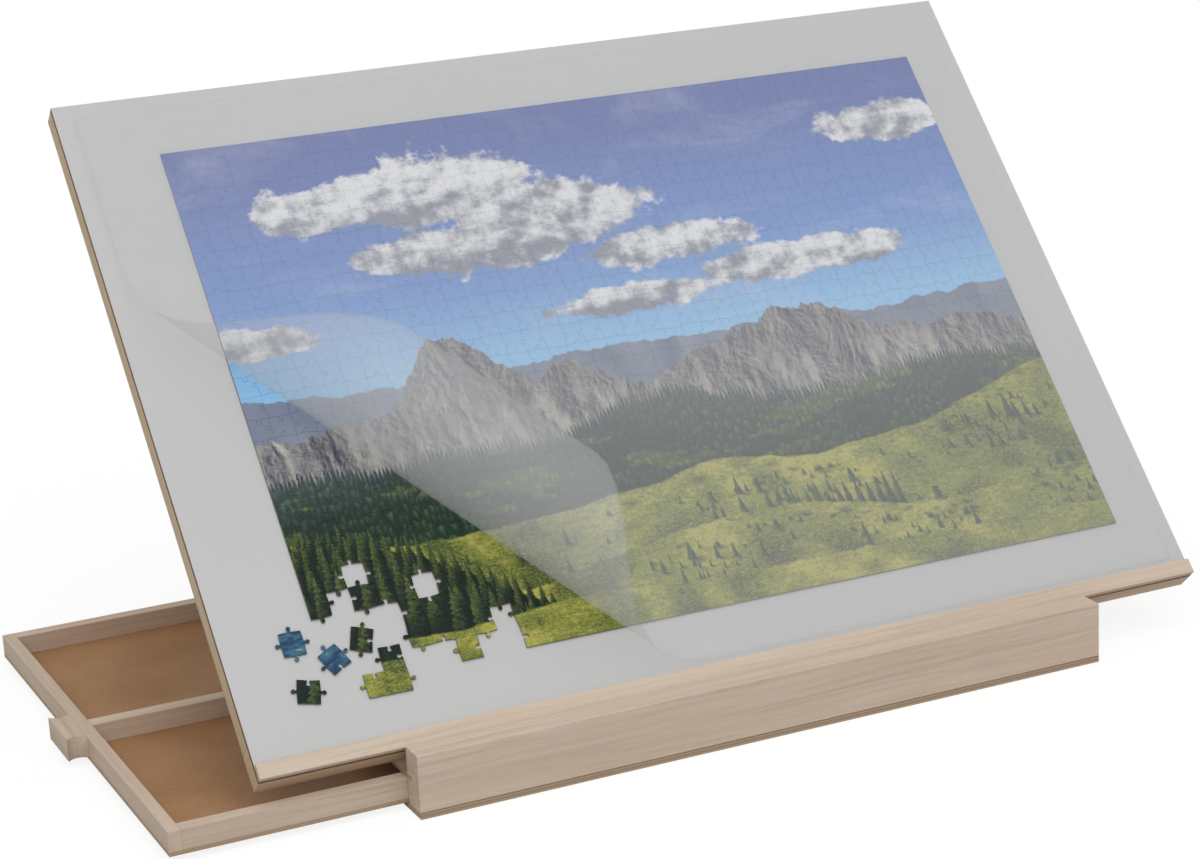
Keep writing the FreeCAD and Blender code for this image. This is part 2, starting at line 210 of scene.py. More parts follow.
def toned(colour, toneAndShade):
    # a colour made darker or warmer by a share for each part
    return tuple(part * share for part, share in zip(paint(*colour)[:3], toneAndShade)) + (1.0,)


def woodMaterial(name, grain, turn=0.0, toneAndShade=(1.0, 1.0, 1.0), shift=0.0):
    material, tree, shader = newMaterial(name)
    place = stretch(tree, ownPlace(tree), (1, 1, 1), (shift, shift * 0.7, shift * 1.3), (turn, 0, 0))
    bent = calc(tree, "MULTIPLY", noise(tree, place, 3.2, 3, 0.5), wood["wave"])
    moved = put(tree, "ShaderNodeCombineXYZ", {0: bent, 1: bent, 2: bent}).outputs[0]
    wavy = put(tree, "ShaderNodeVectorMath", {0: place, 1: moved}, operation="ADD").outputs[0]

    def along(length, cross):
        scale = {"x": (length, cross, cross), "y": (cross, length, cross), "z": (cross, cross, length)}[grain]
        return stretch(tree, wavy, scale)

    broad = noise(tree, along(*wood["broad"]), 1.0, 4, 0.55, 0.8)
    lines = noise(tree, along(*wood["lines"]), 1.0, 5, 0.65, 0.8)
    fibre = noise(tree, along(*wood["fibre"]), 1.0, 3, 0.7)
    patch = noise(tree, along(*wood["patch"]), 1.0, 4, 0.6, 0.8)
    light, dark, deep, rosy = (toned(wood[key], toneAndShade) for key in ("light", "dark", "deep", "rosy"))
    mixed = calc(tree, "MULTIPLY_ADD", broad, 0.40, calc(tree, "MULTIPLY", lines, 0.65))
    colour = blendColour(tree, smooth(tree, mixed, 0.34, 0.72), light, dark)
    colour = blendColour(tree, smooth(tree, patch, 0.42, 0.72, 0.0, 0.45), colour, rosy)
    colour = blendColour(tree, smooth(tree, lines, 0.55, 0.76, 0.0, 0.26), colour, deep)
    colour = blendColour(tree, smooth(tree, fibre, 0.56, 0.76, 0.0, 0.32), colour, deep)
    feed(tree, shader.inputs["Base Color"], colour)
    feed(tree, shader.inputs["Roughness"], smooth(tree, lines, 0.2, 0.8, wood["roughness"] - 0.07,
                                                  wood["roughness"] + 0.07))
    shader.inputs["Specular IOR Level"].default_value = 0.25
    roughen(tree, shader, calc(tree, "MULTIPLY_ADD", fibre, 0.6, lines), wood["bump"], 0.0005)
    return material


# Each wooden piece: the grain's axis, its turn about x, and its tone. The battens' darker, warmer tones are painted
# shade for their place under the board, and the front batten's for its place under the lip.
slope = -board["tilt"]
# the second tone is painted shade: darker and warmer where the front batten sits under the lip
plain, underLipShade = (1.0, 1.0, 1.0), (0.98, 0.89, 0.76)
woodPieces = {
    "front_rail": ("x", 0.0, (0.975, 0.975, 0.975)), "back_rail": ("x", 0.0, (0.94, 0.94, 0.94)),
    "centre_bearer": ("y", 0.0, (0.92, 0.90, 0.88)), "left_guide_strip": ("y", 0.0, plain),
    "right_guide_strip": ("y", 0.0, (0.97, 0.97, 0.96)), "lip_rail": ("x", slope, (0.965, 0.975, 0.96)),
    # painted shade: the battens under the board take darker, warmer tones
    "front_batten": ("x", slope, underLipShade), "back_batten": ("x", slope, (0.92, 0.90, 0.78)),
    "left_batten": ("y", slope, (0.91, 0.89, 0.74)), "right_batten": ("y", slope, (0.92, 0.90, 0.79)),
    "cross_batten": ("x", slope, (0.94, 0.92, 0.82)), "pivot_blocks": ("y", slope, plain),
    "left_arm": ("y", -slope, plain), "right_arm": ("y", -slope, (0.96, 0.96, 0.96)),
}
for side in ("left", "right"):
    woodPieces[side + "_end_wall"] = ("y", 0.0, (0.92, 0.91, 0.89))
    woodPieces[side + "_inner_wall"] = ("y", 0.0, (0.92, 0.91, 0.90))
    woodPieces[side + "_front_side"] = ("x", 0.0, (0.93, 0.92, 0.90))
    woodPieces[side + "_back_side"] = ("x", 0.0, (0.98, 0.96, 0.94))
    woodPieces[side + "_divider"] = ("x", 0.0, (1.02, 1.00, 0.98))
    woodPieces[side + "_grip"] = ("y", 0.0, (0.88, 0.87, 0.84))

softEdge = {
    "width": 0.0007, "drawer": 0.0004, "prop": 0.0005, "metal": 0.00015, "panel": 0.0003, "base": 0.0004,
    "segments": 2, "angle": math.radians(40), "weld": 0.00001, "flat": math.radians(1),
}


def softenEdges(piece, width=softEdge["width"]):
    weld = piece.modifiers.new("weld", "WELD")
    weld.merge_threshold = softEdge["weld"]
    flat = piece.modifiers.new("flat", "DECIMATE")
    flat.decimate_type = "DISSOLVE"
    flat.angle_limit = softEdge["flat"]
    bevel = piece.modifiers.new("bevel", "BEVEL")
    bevel.width = width
    bevel.segments = softEdge["segments"]
    bevel.limit_method = "ANGLE"
    bevel.angle_limit = softEdge["angle"]


def dress(node, material):
    piece = cadNodes[node]
    piece.data.materials.clear()
    piece.data.materials.append(material)
    return piece


for place, (node, (grain, turn, toneAndShade)) in enumerate(sorted(woodPieces.items())):
    piece = dress(node, woodMaterial("wood_" + node, grain, turn, toneAndShade, wood["shift"] * place))
    if node.startswith(("left_", "right_")) and not node.endswith(("_arm", "_batten", "_strip")):
        softenEdges(piece, softEdge["drawer"])
    elif node in ("left_arm", "right_arm", "pivot_blocks"):
        softenEdges(piece, softEdge["prop"])
    else:
        softenEdges(piece)
print("wood pieces dressed:", len(woodPieces))


# Thin panels: plywood, hardboard and the coated board.

panels = {
    "plyFace": (186, 164, 137), "plyDark": (160, 136, 110), "plyEdge": (172, 152, 128),
    # the last ply colour is painted shadow along the top of the edge
    "plyCore": (154, 132, 108), "plyJointShade": (104, 72, 46),
    "hardLight": (172, 132, 95), "hardDark": (150, 111, 76), "hardEdge": (168, 148, 124),
    "coat": (188, 188, 188), "core": (126, 92, 64), "coreDark": (102, 72, 48),
    "baseHeights": (0.0, 0.005), "deckHeights": (0.025, 0.028),
}


def plywoodMaterial(name, low, high):
    material, tree, shader = newMaterial(name)
    place = ownPlace(tree)
    grown = stretch(tree, place, (1, 14, 14))
    broad = noise(tree, grown, 2.2, 4, 0.55, 0.8)
    fibre = noise(tree, grown, 26.0, 4, 0.65)
    face = blendColour(tree, smooth(tree, broad, 0.3, 0.75), paint(*panels["plyFace"]), paint(*panels["plyDark"]))
    face = blendColour(tree, smooth(tree, fibre, 0.55, 0.8, 0.0, 0.35), face, paint(*panels["plyDark"]))
    height = put(tree, "ShaderNodeSeparateXYZ", {0: place}).outputs["Z"]
    layer = calc(tree, "DIVIDE", calc(tree, "SUBTRACT", height, low), high - low)
    core = calc(tree, "MULTIPLY", smooth(tree, layer, 0.25, 0.35), smooth(tree, layer, 0.75, 0.65))
    rough = noise(tree, place, 420.0, 3, 0.6)
    edge = blendColour(tree, core, paint(*panels["plyEdge"]), paint(*panels["plyCore"]))
    # painted shadow: a thin dark line along the top of the edge, where the joint above it lies in shade
    edge = blendColour(tree, smooth(tree, layer, 0.84, 0.96, 0.0, 0.8), edge, paint(*panels["plyJointShade"]))
    edge = blendColour(tree, smooth(tree, rough, 0.4, 0.75, 0.0, 0.35), edge, paint(*panels["plyCore"]))
    level = levelShare(tree)
    feed(tree, shader.inputs["Base Color"], blendColour(tree, smooth(tree, level, 0.4, 0.8), edge, face))
    shader.inputs["Roughness"].default_value = 0.62
    shader.inputs["Specular IOR Level"].default_value = 0.3
    roughen(tree, shader, fibre, 0.12, 0.0005)
    return material


def hardboardMaterial(name):
    material, tree, shader = newMaterial(name)
    place = ownPlace(tree)
    cloud = noise(tree, place, 9.0, 4, 0.55)
    fleck = noise(tree, place, 520.0, 3, 0.7)
    shade = calc(tree, "MULTIPLY_ADD", fleck, 0.5, calc(tree, "MULTIPLY", cloud, 0.6))
    light, dark, pale = (paint(*panels[key]) for key in ("hardLight", "hardDark", "hardEdge"))
    colour = blendColour(tree, smooth(tree, shade, 0.35, 0.75), light, dark)
    level = levelShare(tree)
    edge = blendColour(tree, smooth(tree, fleck, 0.4, 0.7, 0.0, 0.5), pale, light)
    feed(tree, shader.inputs["Base Color"], blendColour(tree, smooth(tree, level, 0.4, 0.8), edge, colour))
    feed(tree, shader.inputs["Roughness"], smooth(tree, cloud, 0.3, 0.7, 0.55, 0.7))
    shader.inputs["Specular IOR Level"].default_value = 0.15
    roughen(tree, shader, fleck, 0.1, 0.0003)
    return material


def coatedMaterial(name):
    # a white coat on the face; the edges and the back show the brown core
    material, tree, shader = newMaterial(name)
    place = ownPlace(tree)
    fleck = noise(tree, place, 600.0, 3, 0.7)
    cloud = noise(tree, place, 3.0, 3, 0.5)
    core = blendColour(tree, smooth(tree, fleck, 0.35, 0.7), paint(*panels["core"]), paint(*panels["coreDark"]))
    white, shaded = paint(*panels["coat"]), toned(panels["coat"], (0.96, 0.96, 0.96))
    coat = blendColour(tree, smooth(tree, cloud, 0.3, 0.7), white, shaded)
    face = smooth(tree, boardFacing(tree), 0.5, 0.8)
    feed(tree, shader.inputs["Base Color"], blendColour(tree, face, core, coat))
    feed(tree, shader.inputs["Roughness"], smooth(tree, face, 0.0, 1.0, 0.7, 0.38))
    shader.inputs["Specular IOR Level"].default_value = 0.35
    roughen(tree, shader, noise(tree, place, 160.0, 2, 0.5), 0.02, 0.0004)
    return material


softenEdges(dress("bottom_panel", plywoodMaterial("plywood_base", *panels["baseHeights"])), softEdge["base"])
softenEdges(dress("deck_panel", plywoodMaterial("plywood_deck", *panels["deckHeights"])), softEdge["panel"])
hardboard = hardboardMaterial("hardboard")
for side in ("left", "right"):
    softenEdges(dress(side + "_bottom", hardboard), softEdge["panel"])
softenEdges(dress("board_panel", coatedMaterial("coated_panel")), softEdge["panel"])
print("panels dressed")


# Metal.

metals = {"steel": ((176, 176, 172), 0.34), "brass": ((196, 158, 92), 0.30)}


def metalMaterial(name, kind):
    colour, roughness = metals[kind]
    material, tree, shader = newMaterial(name)
    place = ownPlace(tree)
    cloud = noise(tree, place, 180.0, 4, 0.6)
    scratch = noise(tree, stretch(tree, place, (60, 900, 900)), 1.0, 3, 0.6)
    base, dull = paint(*colour), toned(colour, (0.78, 0.78, 0.78))
    feed(tree, shader.inputs["Base Color"], blendColour(tree, smooth(tree, cloud, 0.35, 0.7), base, dull))
    shader.inputs["Metallic"].default_value = 1.0
    feed(tree, shader.inputs["Roughness"], smooth(tree, scratch, 0.2, 0.8, roughness - 0.08, roughness + 0.12))
    roughen(tree, shader, scratch, 0.06, 0.0002)
    return material


steel = metalMaterial("zinc_steel", "steel")
brass = metalMaterial("knurled_brass", "brass")
for node in ("hinge_deck_leaves", "hinge_board_leaves"):
    softenEdges(dress(node, steel), softEdge["metal"])
for node in ("hinge_pins", "pivot_pins", "foot_rod"):
    dress(node, steel)
for node in ("left_thumb_nut", "right_thumb_nut"):
    dress(node, brass)
print("metal dressed")


# Screws with cross-recessed countersunk heads.

# Each kind: head radius, head height, shank radius and length.
screws = {
    "sides": 16, "recess": 0.0008, "wing": 0.58, "blade": 0.20, "neck": 0.96, "overlap": 0.0002, "seed": 4,
    "base": (0.0032, 0.0022, 0.0015, 0.018), "leaf": (0.0024, 0.0013, 0.0011, 0.0045),
    "strip": (0.0024, 0.0013, 0.0011, 0.017), "batten": (0.0024, 0.0013, 0.0011, 0.0135),
    "baseAcross": (-0.25, -0.085, 0.085, 0.25), "baseAlong": (-0.244, 0.244),
    "hingeAcross": (-0.235, 0.235), "leafAcross": (-0.021, 0.0, 0.021), "deckLeaf": (-0.22675, 0.0295),
    "boardLeaf": (-0.0015, 0.01185), "stripAcross": (-0.196, 0.196), "stripAlong": (0.05903, 0.2185),
    "stripTop": 0.042,
}
screwKinds = ("base", "leaf", "strip", "batten")
screwSizes = ("head radius", "head height", "shank radius", "length")


def screwShape():
    # one screw, head up, with the middle of its flat head at the origin
    tree, given = newTree("countersunkScrew", [(name, "Float") for name in screwSizes + ("recess",)])

    def at(x, y, z):
        return put(tree, "ShaderNodeCombineXYZ", {0: x, 1: y, 2: z}).outputs[0]

    def raised(mesh, height):
        return put(tree, "GeometryNodeTransform", {"Geometry": mesh, "Translation": at(0.0, 0.0, height)}).outputs[0]

    drop = calc(tree, "MULTIPLY", given["head height"], -1.0)
    head = put(tree, "GeometryNodeMeshCone", {
        "Vertices": screws["sides"], "Radius Top": given["head radius"], "Radius Bottom": given["shank radius"],
        "Depth": given["head height"]}).outputs["Mesh"]
    run = calc(tree, "ADD", given["length"], drop)
    shank = put(tree, "GeometryNodeMeshCylinder", {
        "Vertices": screws["sides"], "Radius": calc(tree, "MULTIPLY", given["shank radius"], screws["neck"]),
        "Depth": calc(tree, "ADD", run, screws["overlap"])}).outputs["Mesh"]
    middle = calc(tree, "MULTIPLY_ADD", run, -0.5, calc(tree, "ADD", drop, screws["overlap"] / 2))
    whole = put(tree, "GeometryNodeMeshBoolean", operation="UNION", solver="EXACT")
    tree.links.new(raised(head, drop), whole.inputs["Mesh 2"])
    tree.links.new(raised(shank, middle), whole.inputs["Mesh 2"])
    wing = calc(tree, "MULTIPLY", given["head radius"], 2 * screws["wing"])
    blade = calc(tree, "MULTIPLY", given["head radius"], 2 * screws["blade"])
    deep = calc(tree, "MULTIPLY", given["recess"], 2.0)
    cut = put(tree, "GeometryNodeMeshBoolean", {"Mesh 1": whole.outputs["Mesh"]}, operation="DIFFERENCE",
              solver="EXACT")
    for size in ((wing, blade, deep), (blade, wing, deep)):
        tree.links.new(put(tree, "GeometryNodeMeshCube", {"Size": at(*size)}).outputs["Mesh"], cut.inputs["Mesh 2"])
    return endTree(tree, cut.outputs["Mesh"])


def screwTree():
    # stands a screw of its own kind at each point, along the point's axis
    tree, given = newTree("screwSet", [("Geometry", "Geometry"), ("recess", "Float"), ("material", "Material")])
    shape, kind = screwShape(), namedValue(tree, "kind", "FLOAT")
    upright = put(tree, "FunctionNodeAlignRotationToVector", {"Vector": namedValue(tree, "axis")},
                  axis="Z").outputs[0]
    chance = put(tree, "FunctionNodeRandomValue", {"Seed": screws["seed"]}, data_type="FLOAT")
    angle = calc(tree, "MULTIPLY", next(out for out in chance.outputs if out.enabled), math.pi)
    spin = put(tree, "ShaderNodeCombineXYZ", {2: angle}).outputs[0]
    spun = put(tree, "FunctionNodeRotateRotation", {"Rotation": upright, "Rotate By": spin},
               rotation_space="LOCAL").outputs[0]
    rows = []
    for index, name in enumerate(screwKinds):
        one = put(tree, "GeometryNodeGroup", dict(zip(screwSizes, screws[name]), recess=given["recess"]),
                  node_tree=shape)
        near = calc(tree, "COMPARE", kind, float(index), 0.1)
        stood = put(tree, "GeometryNodeInstanceOnPoints", {"Points": given["Geometry"], "Selection": near,
                                                           "Instance": one.outputs[0], "Rotation": spun})
        rows.append(stood.outputs[0])
    return endTree(tree, realPainted(tree, joined(tree, rows), given["material"]))


def makeScrews(name, places, tree):
    # places: kind, point and the axis that the head faces
    mesh = bpy.data.meshes.new(name)
    mesh.from_pydata([point for kind, point, axis in places], [], [])
    facing = mesh.attributes.new("axis", "FLOAT_VECTOR", "POINT")
    facing.data.foreach_set("vector", [part for kind, point, axis in places for part in axis])
    sort = mesh.attributes.new("kind", "FLOAT", "POINT")
    sort.data.foreach_set("value", [float(screwKinds.index(kind)) for kind, point, axis in places])
    return applyTree(newObject(name, mesh), tree, {"recess": screws["recess"], "material": steel})


def placeScrews():
    up, down, forward = (0, 0, 1), (0, 0, -1), (0, -math.cos(board["tilt"]), -math.sin(board["tilt"]))
    basePlaces = [("base", (x, y, 0.0), down) for y in screws["baseAlong"] for x in screws["baseAcross"]]
    boardPlaces = []
    for middle in screws["hingeAcross"]:
        for offset in screws["leafAcross"]:
            basePlaces.append(("leaf", (middle + offset, *screws["deckLeaf"]), up))
            boardPlaces.append(("batten", tuple(onBoard(middle + offset, *screws["boardLeaf"])), forward))
    basePlaces += [("strip", (x, y, screws["stripTop"]), up)
                   for x in screws["stripAcross"] for y in screws["stripAlong"]]
    tree = screwTree()
    low = makeScrews("base_screw_set", basePlaces, tree)
    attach(low, "base")
    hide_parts("base_screws", "deck_screws")
    high = makeScrews("board_screw_set", boardPlaces, tree)
    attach(high, "board")
    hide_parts("board_screws")
    print("screws:", len(basePlaces) + len(boardPlaces))


placeScrews()


# The jigsaw.

puzzle = {
    "columns": 40, "rows": 25, "width": 0.680, "height": 0.467, "left": -0.3272, "low": 0.057,
    "thickness": 0.002, "gap": 0.00004, "edgeRound": 0.00022, "edgeInset": 0.00026,
    "jitter": 0.0005, "lean": 0.05, "knobSpread": 0.08, "above": 0.00005, "weld": 0.000002, "seed": 11,
    "bareLight": (150, 146, 138), "bareDark": (118, 112, 104),
}
cellWide = puzzle["width"] / puzzle["columns"]
cellHigh = puzzle["height"] / puzzle["rows"]

# Open cells (column, row from the top), with the way the missing piece's sides go.
openCells = {
    (2, 20): {"left": 1, "right": 1, "high": 1, "low": -1},
    (1, 21): {"left": -1, "right": 1, "high": -1},
    (5, 21): {"left": 1, "right": 1, "high": 1, "low": 1},
    (0, 22): {"high": -1}, (1, 22): {}, (2, 22): {"high": -1}, (3, 22): {"high": 1, "right": 1},
    (0, 23): {}, (1, 23): {}, (2, 23): {}, (3, 23): {"right": -1},
    (8, 23): {"left": 1, "right": -1, "high": -1},
    (0, 24): {}, (1, 24): {}, (2, 24): {}, (3, 24): {}, (4, 24): {"high": -1},
    (5, 24): {"high": 1, "right": -1}, (7, 24): {"left": 1, "high": -1}, (8, 24): {"right": 1},
}
# Loose pieces: middle on the board, turn in degrees, and cells with their sides and the
# cell of the picture that each one shows.
loosePieces = [
    (-0.3464, 0.0971, -1, {(0, 0): ({"left": 1, "right": 1, "high": 1, "low": 1}, (0, 23))}),
    (-0.3195, 0.0788, 27, {(0, 0): ({"left": 1, "right": 1, "high": 1, "low": -1}, (0, 24))}),
    (-0.3457, 0.0582, -14, {(0, 0): ({"left": 1, "right": 1, "high": -1}, (2, 21))}),
    (-0.2950, 0.0898, -20, {(0, 0): ({"right": -1, "high": 1, "low": 1}, (3, 21))}),
    (-0.2771, 0.0713, -1, {
        (0, 0): ({"left": 1, "right": -1, "high": -1}, (3, 23)),
        (0, -1): ({"right": 1}, (3, 24)),
        (-1, -1): ({"left": 1, "high": -1}, (2, 24)),
    }),
]
# One knob, in side lengths: along the side and out from it; the coarse one is for laid pieces.
knobOutline = [(0.443, 0.02), (0.447, 0.09), (0.398, 0.17), (0.43, 0.25), (0.5, 0.277),
               (0.57, 0.25), (0.602, 0.17), (0.553, 0.09), (0.557, 0.02)]
knobCoarse = [(0.44, 0.035), (0.40, 0.15), (0.425, 0.24), (0.5, 0.275), (0.575, 0.24),
              (0.60, 0.15), (0.56, 0.035)]


def sideLine(start, end, way, lean=0.0, size=1.0, outline=knobOutline):
    # points between two corners; the knob stands to the right of the walk for way 1
    run = (end[0] - start[0], end[1] - start[1])
    length = cellWide * size
    total = math.hypot(*run)
    side = (run[1] / total, -run[0] / total)
    points = []
    for t, reach in outline:
        along = 0.5 + lean + (t - 0.5) * length / total
        points.append((start[0] + run[0] * along + side[0] * reach * length * way,
                       start[1] + run[1] * along + side[1] * reach * length * way))
    return points


def openWay(kind, column, row):
    # the way of a side beside an open cell: +1 goes right or down
    if kind == "upright":
        beside = (((column, row), "left", -1), ((column - 1, row), "right", 1))
    else:
        beside = (((column, row), "high", -1), ((column, row - 1), "low", 1))
    for cell, name, sign in beside:
        if name in openCells.get(cell, {}):
            return sign * openCells[cell][name]
    return 0


def layCells():
    # corners and sides of the whole cut, each side shared by the two pieces beside it
    chance = random.Random(puzzle["seed"])
    columns, rows = puzzle["columns"], puzzle["rows"]
    corner = {}
    for column in range(columns + 1):
        for row in range(rows + 1):
            x = puzzle["left"] + column * cellWide
            up = puzzle["low"] + (rows - row) * cellHigh
            if 0 < column < columns:
                x += chance.uniform(-1, 1) * puzzle["jitter"]
            if 0 < row < rows:
                up += chance.uniform(-1, 1) * puzzle["jitter"]
            corner[column, row] = (x, up)
    sides = {}
    for column in range(columns + 1):
        for row in range(rows + 1):
            for kind in ("upright", "level"):
                far = (column, row + 1) if kind == "upright" else (column + 1, row)
                inside = 0 < column < columns if kind == "upright" else 0 < row < rows
                way = chance.choice((-1, 1))
                lean = chance.uniform(-puzzle["lean"], puzzle["lean"])
                size = chance.uniform(1 - puzzle["knobSpread"], 1 + puzzle["knobSpread"])
                if far not in corner:
                    continue
                way = openWay(kind, column, row) or way
                start, end = corner[column, row], corner[far]
                # walking down, the right hand points to -x; walking right, it points down
                turned = -way if kind == "upright" else way
                sides[kind, column, row] = (
                    sideLine(start, end, turned, lean, size, knobCoarse) if inside else [])
    return corner, sides


def picturePoint(x, up):
    # a place on the board in the picture: both measured in picture widths
    return ((x - puzzle["left"]) / puzzle["width"], (up - puzzle["low"]) / puzzle["width"], 0.0)


def inwardAt(outline):
    # how each corner of an outline moves when the outline draws in by one
    ways = []
    for index, (x, up) in enumerate(outline):
        beforeX, beforeUp = outline[index - 1]
        afterX, afterUp = outline[(index + 1) % len(outline)]
        first = Vector((beforeUp - up, x - beforeX)).normalized()
        second = Vector((up - afterUp, afterX - x)).normalized()
        both = first + second
        ways.append(both / max(0.6, 1.0 + first.dot(second)))
    return ways


def flatPieces(name, outlines):
    # one flat face for each piece; outlines hold (board point, picture point) pairs
    points, faces, pictures, inward = [], [], [], []
    slopeWay = Vector((0, math.cos(board["tilt"]), math.sin(board["tilt"])))
    for outline in outlines:
        faces.append(range(len(points), len(points) + len(outline)))
        ways = inwardAt([place for place, seen in outline])
        for ((x, up), seen), way in zip(outline, ways):
            points.append(onBoard(x + way.x * puzzle["gap"], up + way.y * puzzle["gap"],
                                  board["face"] + puzzle["above"]))
            inward.append(Vector((way.x, 0, 0)) + slopeWay * way.y)
            pictures.append(seen)
    mesh = bpy.data.meshes.new(name)
    mesh.from_pydata(points, [], [list(face) for face in faces])
    for label, values in (("picture", pictures), ("inward", inward)):
        attribute = mesh.attributes.new(label, "FLOAT_VECTOR", "POINT")
        for index, value in enumerate(values):
            attribute.data[index].vector = value
    return newObject(name, mesh)


def cardTree():
    # gives each flat face its thickness and a pressed-in upper edge
    tree, given = newTree("pieceCard", [("Geometry", "Geometry"), ("thickness", "Float"), ("edge round", "Float"),
                                        ("edge inset", "Float"), ("material", "Material")])
    wallHeight = calc(tree, "SUBTRACT", given["thickness"], given["edge round"])
    walls = put(tree, "GeometryNodeExtrudeMesh", {"Mesh": given["Geometry"], "Offset Scale": wallHeight,
                                                  "Individual": True}, mode="FACES")
    brow = put(tree, "GeometryNodeExtrudeMesh", {"Mesh": walls.outputs["Mesh"], "Selection": walls.outputs["Top"],
                                                 "Offset Scale": given["edge round"], "Individual": True},
               mode="FACES")
    draw = put(tree, "ShaderNodeVectorMath", {0: namedValue(tree, "inward"), "Scale": given["edge inset"]},
               operation="SCALE")
    drawn = put(tree, "GeometryNodeSetPosition", {"Geometry": brow.outputs["Mesh"], "Selection": brow.outputs["Top"],
                                                  "Offset": draw.outputs[0]})
    under = put(tree, "GeometryNodeFlipFaces", {"Mesh": given["Geometry"]})
    closed = put(tree, "GeometryNodeMergeByDistance", {
        "Geometry": joined(tree, (drawn.outputs[0], under.outputs[0])), "Distance": puzzle["weld"]})
    return endTree(tree, realPainted(tree, closed.outputs[0], given["material"]))


# The picture on the jigsaw is a generic mountain valley.
picture = {
    "skyTop": (74, 94, 164), "skyMiddle": (96, 136, 200), "skyLow": (146, 196, 230),
    "cloudLight": (222, 223, 226), "cloudShade": (132, 137, 152), "veil": (196, 204, 220),
    "farLight": (142, 150, 166), "farDark": (98, 110, 134), "rockLight": (198, 194, 190),
    "rockDark": (66, 70, 84), "scree": (176, 172, 164),
    "woodsDeep": (18, 31, 27), "woodsDark": (30, 50, 38), "woodsLight": (98, 112, 60), "woodsFar": (78, 102, 76),
    "meadowLight": (172, 168, 82), "meadowMiddle": (124, 132, 56), "meadowDark": (70, 86, 42),
    "meadowDry": (184, 168, 108), "water": (34, 62, 94), "waterLight": (68, 112, 134), "reed": (112, 160, 120),
}
inks = {name: paint(*colour) for name, colour in picture.items()}

# Places in the picture are in picture widths. Clouds and groves: middle, height, half width
# and half height. Lines: height, waves of (scale, size, detail) and seed. Rises and peaks:
# middle, half width and height.
valley = {
    "clouds": [(0.17, 0.585, 0.12, 0.036), (0.30, 0.590, 0.15, 0.060), (0.43, 0.535, 0.15, 0.055),
               (0.33, 0.505, 0.17, 0.036), (0.58, 0.470, 0.12, 0.030), (0.75, 0.425, 0.17, 0.030),
               (0.93, 0.600, 0.10, 0.032), (0.03, 0.425, 0.09, 0.024), (0.50, 0.405, 0.12, 0.022)],
    "groves": [(0.60, 0.115, 0.11, 0.040), (0.74, 0.060, 0.09, 0.036), (0.90, 0.165, 0.08, 0.045),
               (0.97, 0.060, 0.06, 0.040), (0.46, 0.060, 0.06, 0.026)],
    # noise scales of the clouds, the grass and the rocks, and the small steps that light them
    "heapScale": 16.0, "wispScale": 17.0, "softScale": 7.0, "cloudStep": (0.010, -0.016, 0.0),
    "bladeScale": 260.0, "tuftScale": 105.0, "foldScale": 4.2, "foldStep": (0.03, 0.02, 0),
    "cragScale": 22.0, "cragStep": (0.0030, 0.0014, 0), "massScale": 9.0, "massStep": (0.012, 0.004, 0),
    "farLine": (0.345, [(8.0, 0.030, 7), (40.0, 0.006, 4)], 3.1),
    "rockLine": (0.292, [(8.0, 0.046, 8), (50.0, 0.018, 6)], 9.4),
    "peaks": [(0.25, 0.075, 0.105), (0.69, 0.13, 0.065), (0.40, 0.045, 0.040)],
    "woodsLine": (0.244, [(4.0, 0.060, 4), (22.0, 0.008, 3)], 15.0), "woodsRise": (0.50, 0.09, 0.030),
    "copseLine": (0.098, [(5.0, 0.02, 3)], 26.0), "copseMiddle": (0.66, 0.09, 1.0),
    "nearLine": (-0.040, [(5.0, 0.014, 3)], 55.0), "nearRise": (0.02, 0.27, 0.205),
    # rows of trees: spacing, height, seed; the crowns: width, height, shift
    "woodsTrees": (0.0052, 0.013, 5.0), "copseTrees": (0.013, 0.036, 29.0),
    "woodsCrowns": (0.0075, 0.013, (0.3, 0.7, 0)),
    # rows of near trees: drop under their line, then as above
    "nearRows": [(0.0, 0.0120, 0.030, 61.0), (0.022, 0.0155, 0.042, 66.0),
                 (0.046, 0.0190, 0.052, 72.0), (0.078, 0.0240, 0.066, 83.0)],
    # single trees: size and shift
    "smallTrees": [(0.017, (0.7, 0.2, 0)), (0.028, (0.1, 0.6, 0)), (0.030, (0.55, 0.05, 0))],
    "tallTrees": (0.046, (0.35, 0.15, 0)),
    # meadows: line, rises, shift of the folds, and whether trees stand on them
    "backMeadow": ((0.150, [(3.0, 0.026, 3), (12.0, 0.006, 3)], 21.0),
                   ((1.05, 0.26, 0.085), (0.52, 0.10, 0.020)), 2.0, True),
    "frontMeadow": ((0.062, [(2.6, 0.030, 3), (14.0, 0.005, 3)], 37.0),
                    ((0.52, 0.20, 0.045), (1.0, 0.16, 0.030)), 5.0, True),
    "verge": ((0.034, [(7.0, 0.014, 3)], 91.0), ((0.30, 0.10, 0.012),), 8.0, False),
}


def heightLine(tree, across, base, waves, seed):
    # a ridge's height along the picture: base and (scale, size, detail) waves
    height = base
    for index, (scale, size, detail) in enumerate(waves):
        place = put(tree, "ShaderNodeCombineXYZ", {0: across, 1: seed + 7.3 * index, 2: 0.0}).outputs[0]
        wave = calc(tree, "MULTIPLY_ADD", noise(tree, place, scale, detail, 0.62), 2 * size, -size)
        height = calc(tree, "ADD", height, wave)
    return height


def bulge(tree, across, middle, wide, size):
    # a soft rise of that size round a middle
    gone = calc(tree, "MULTIPLY_ADD", across, 1 / wide, -middle / wide)
    fall = calc(tree, "MULTIPLY", calc(tree, "MULTIPLY", gone, gone), -1.0)
    return calc(tree, "MULTIPLY", calc(tree, "EXPONENT", fall), size)


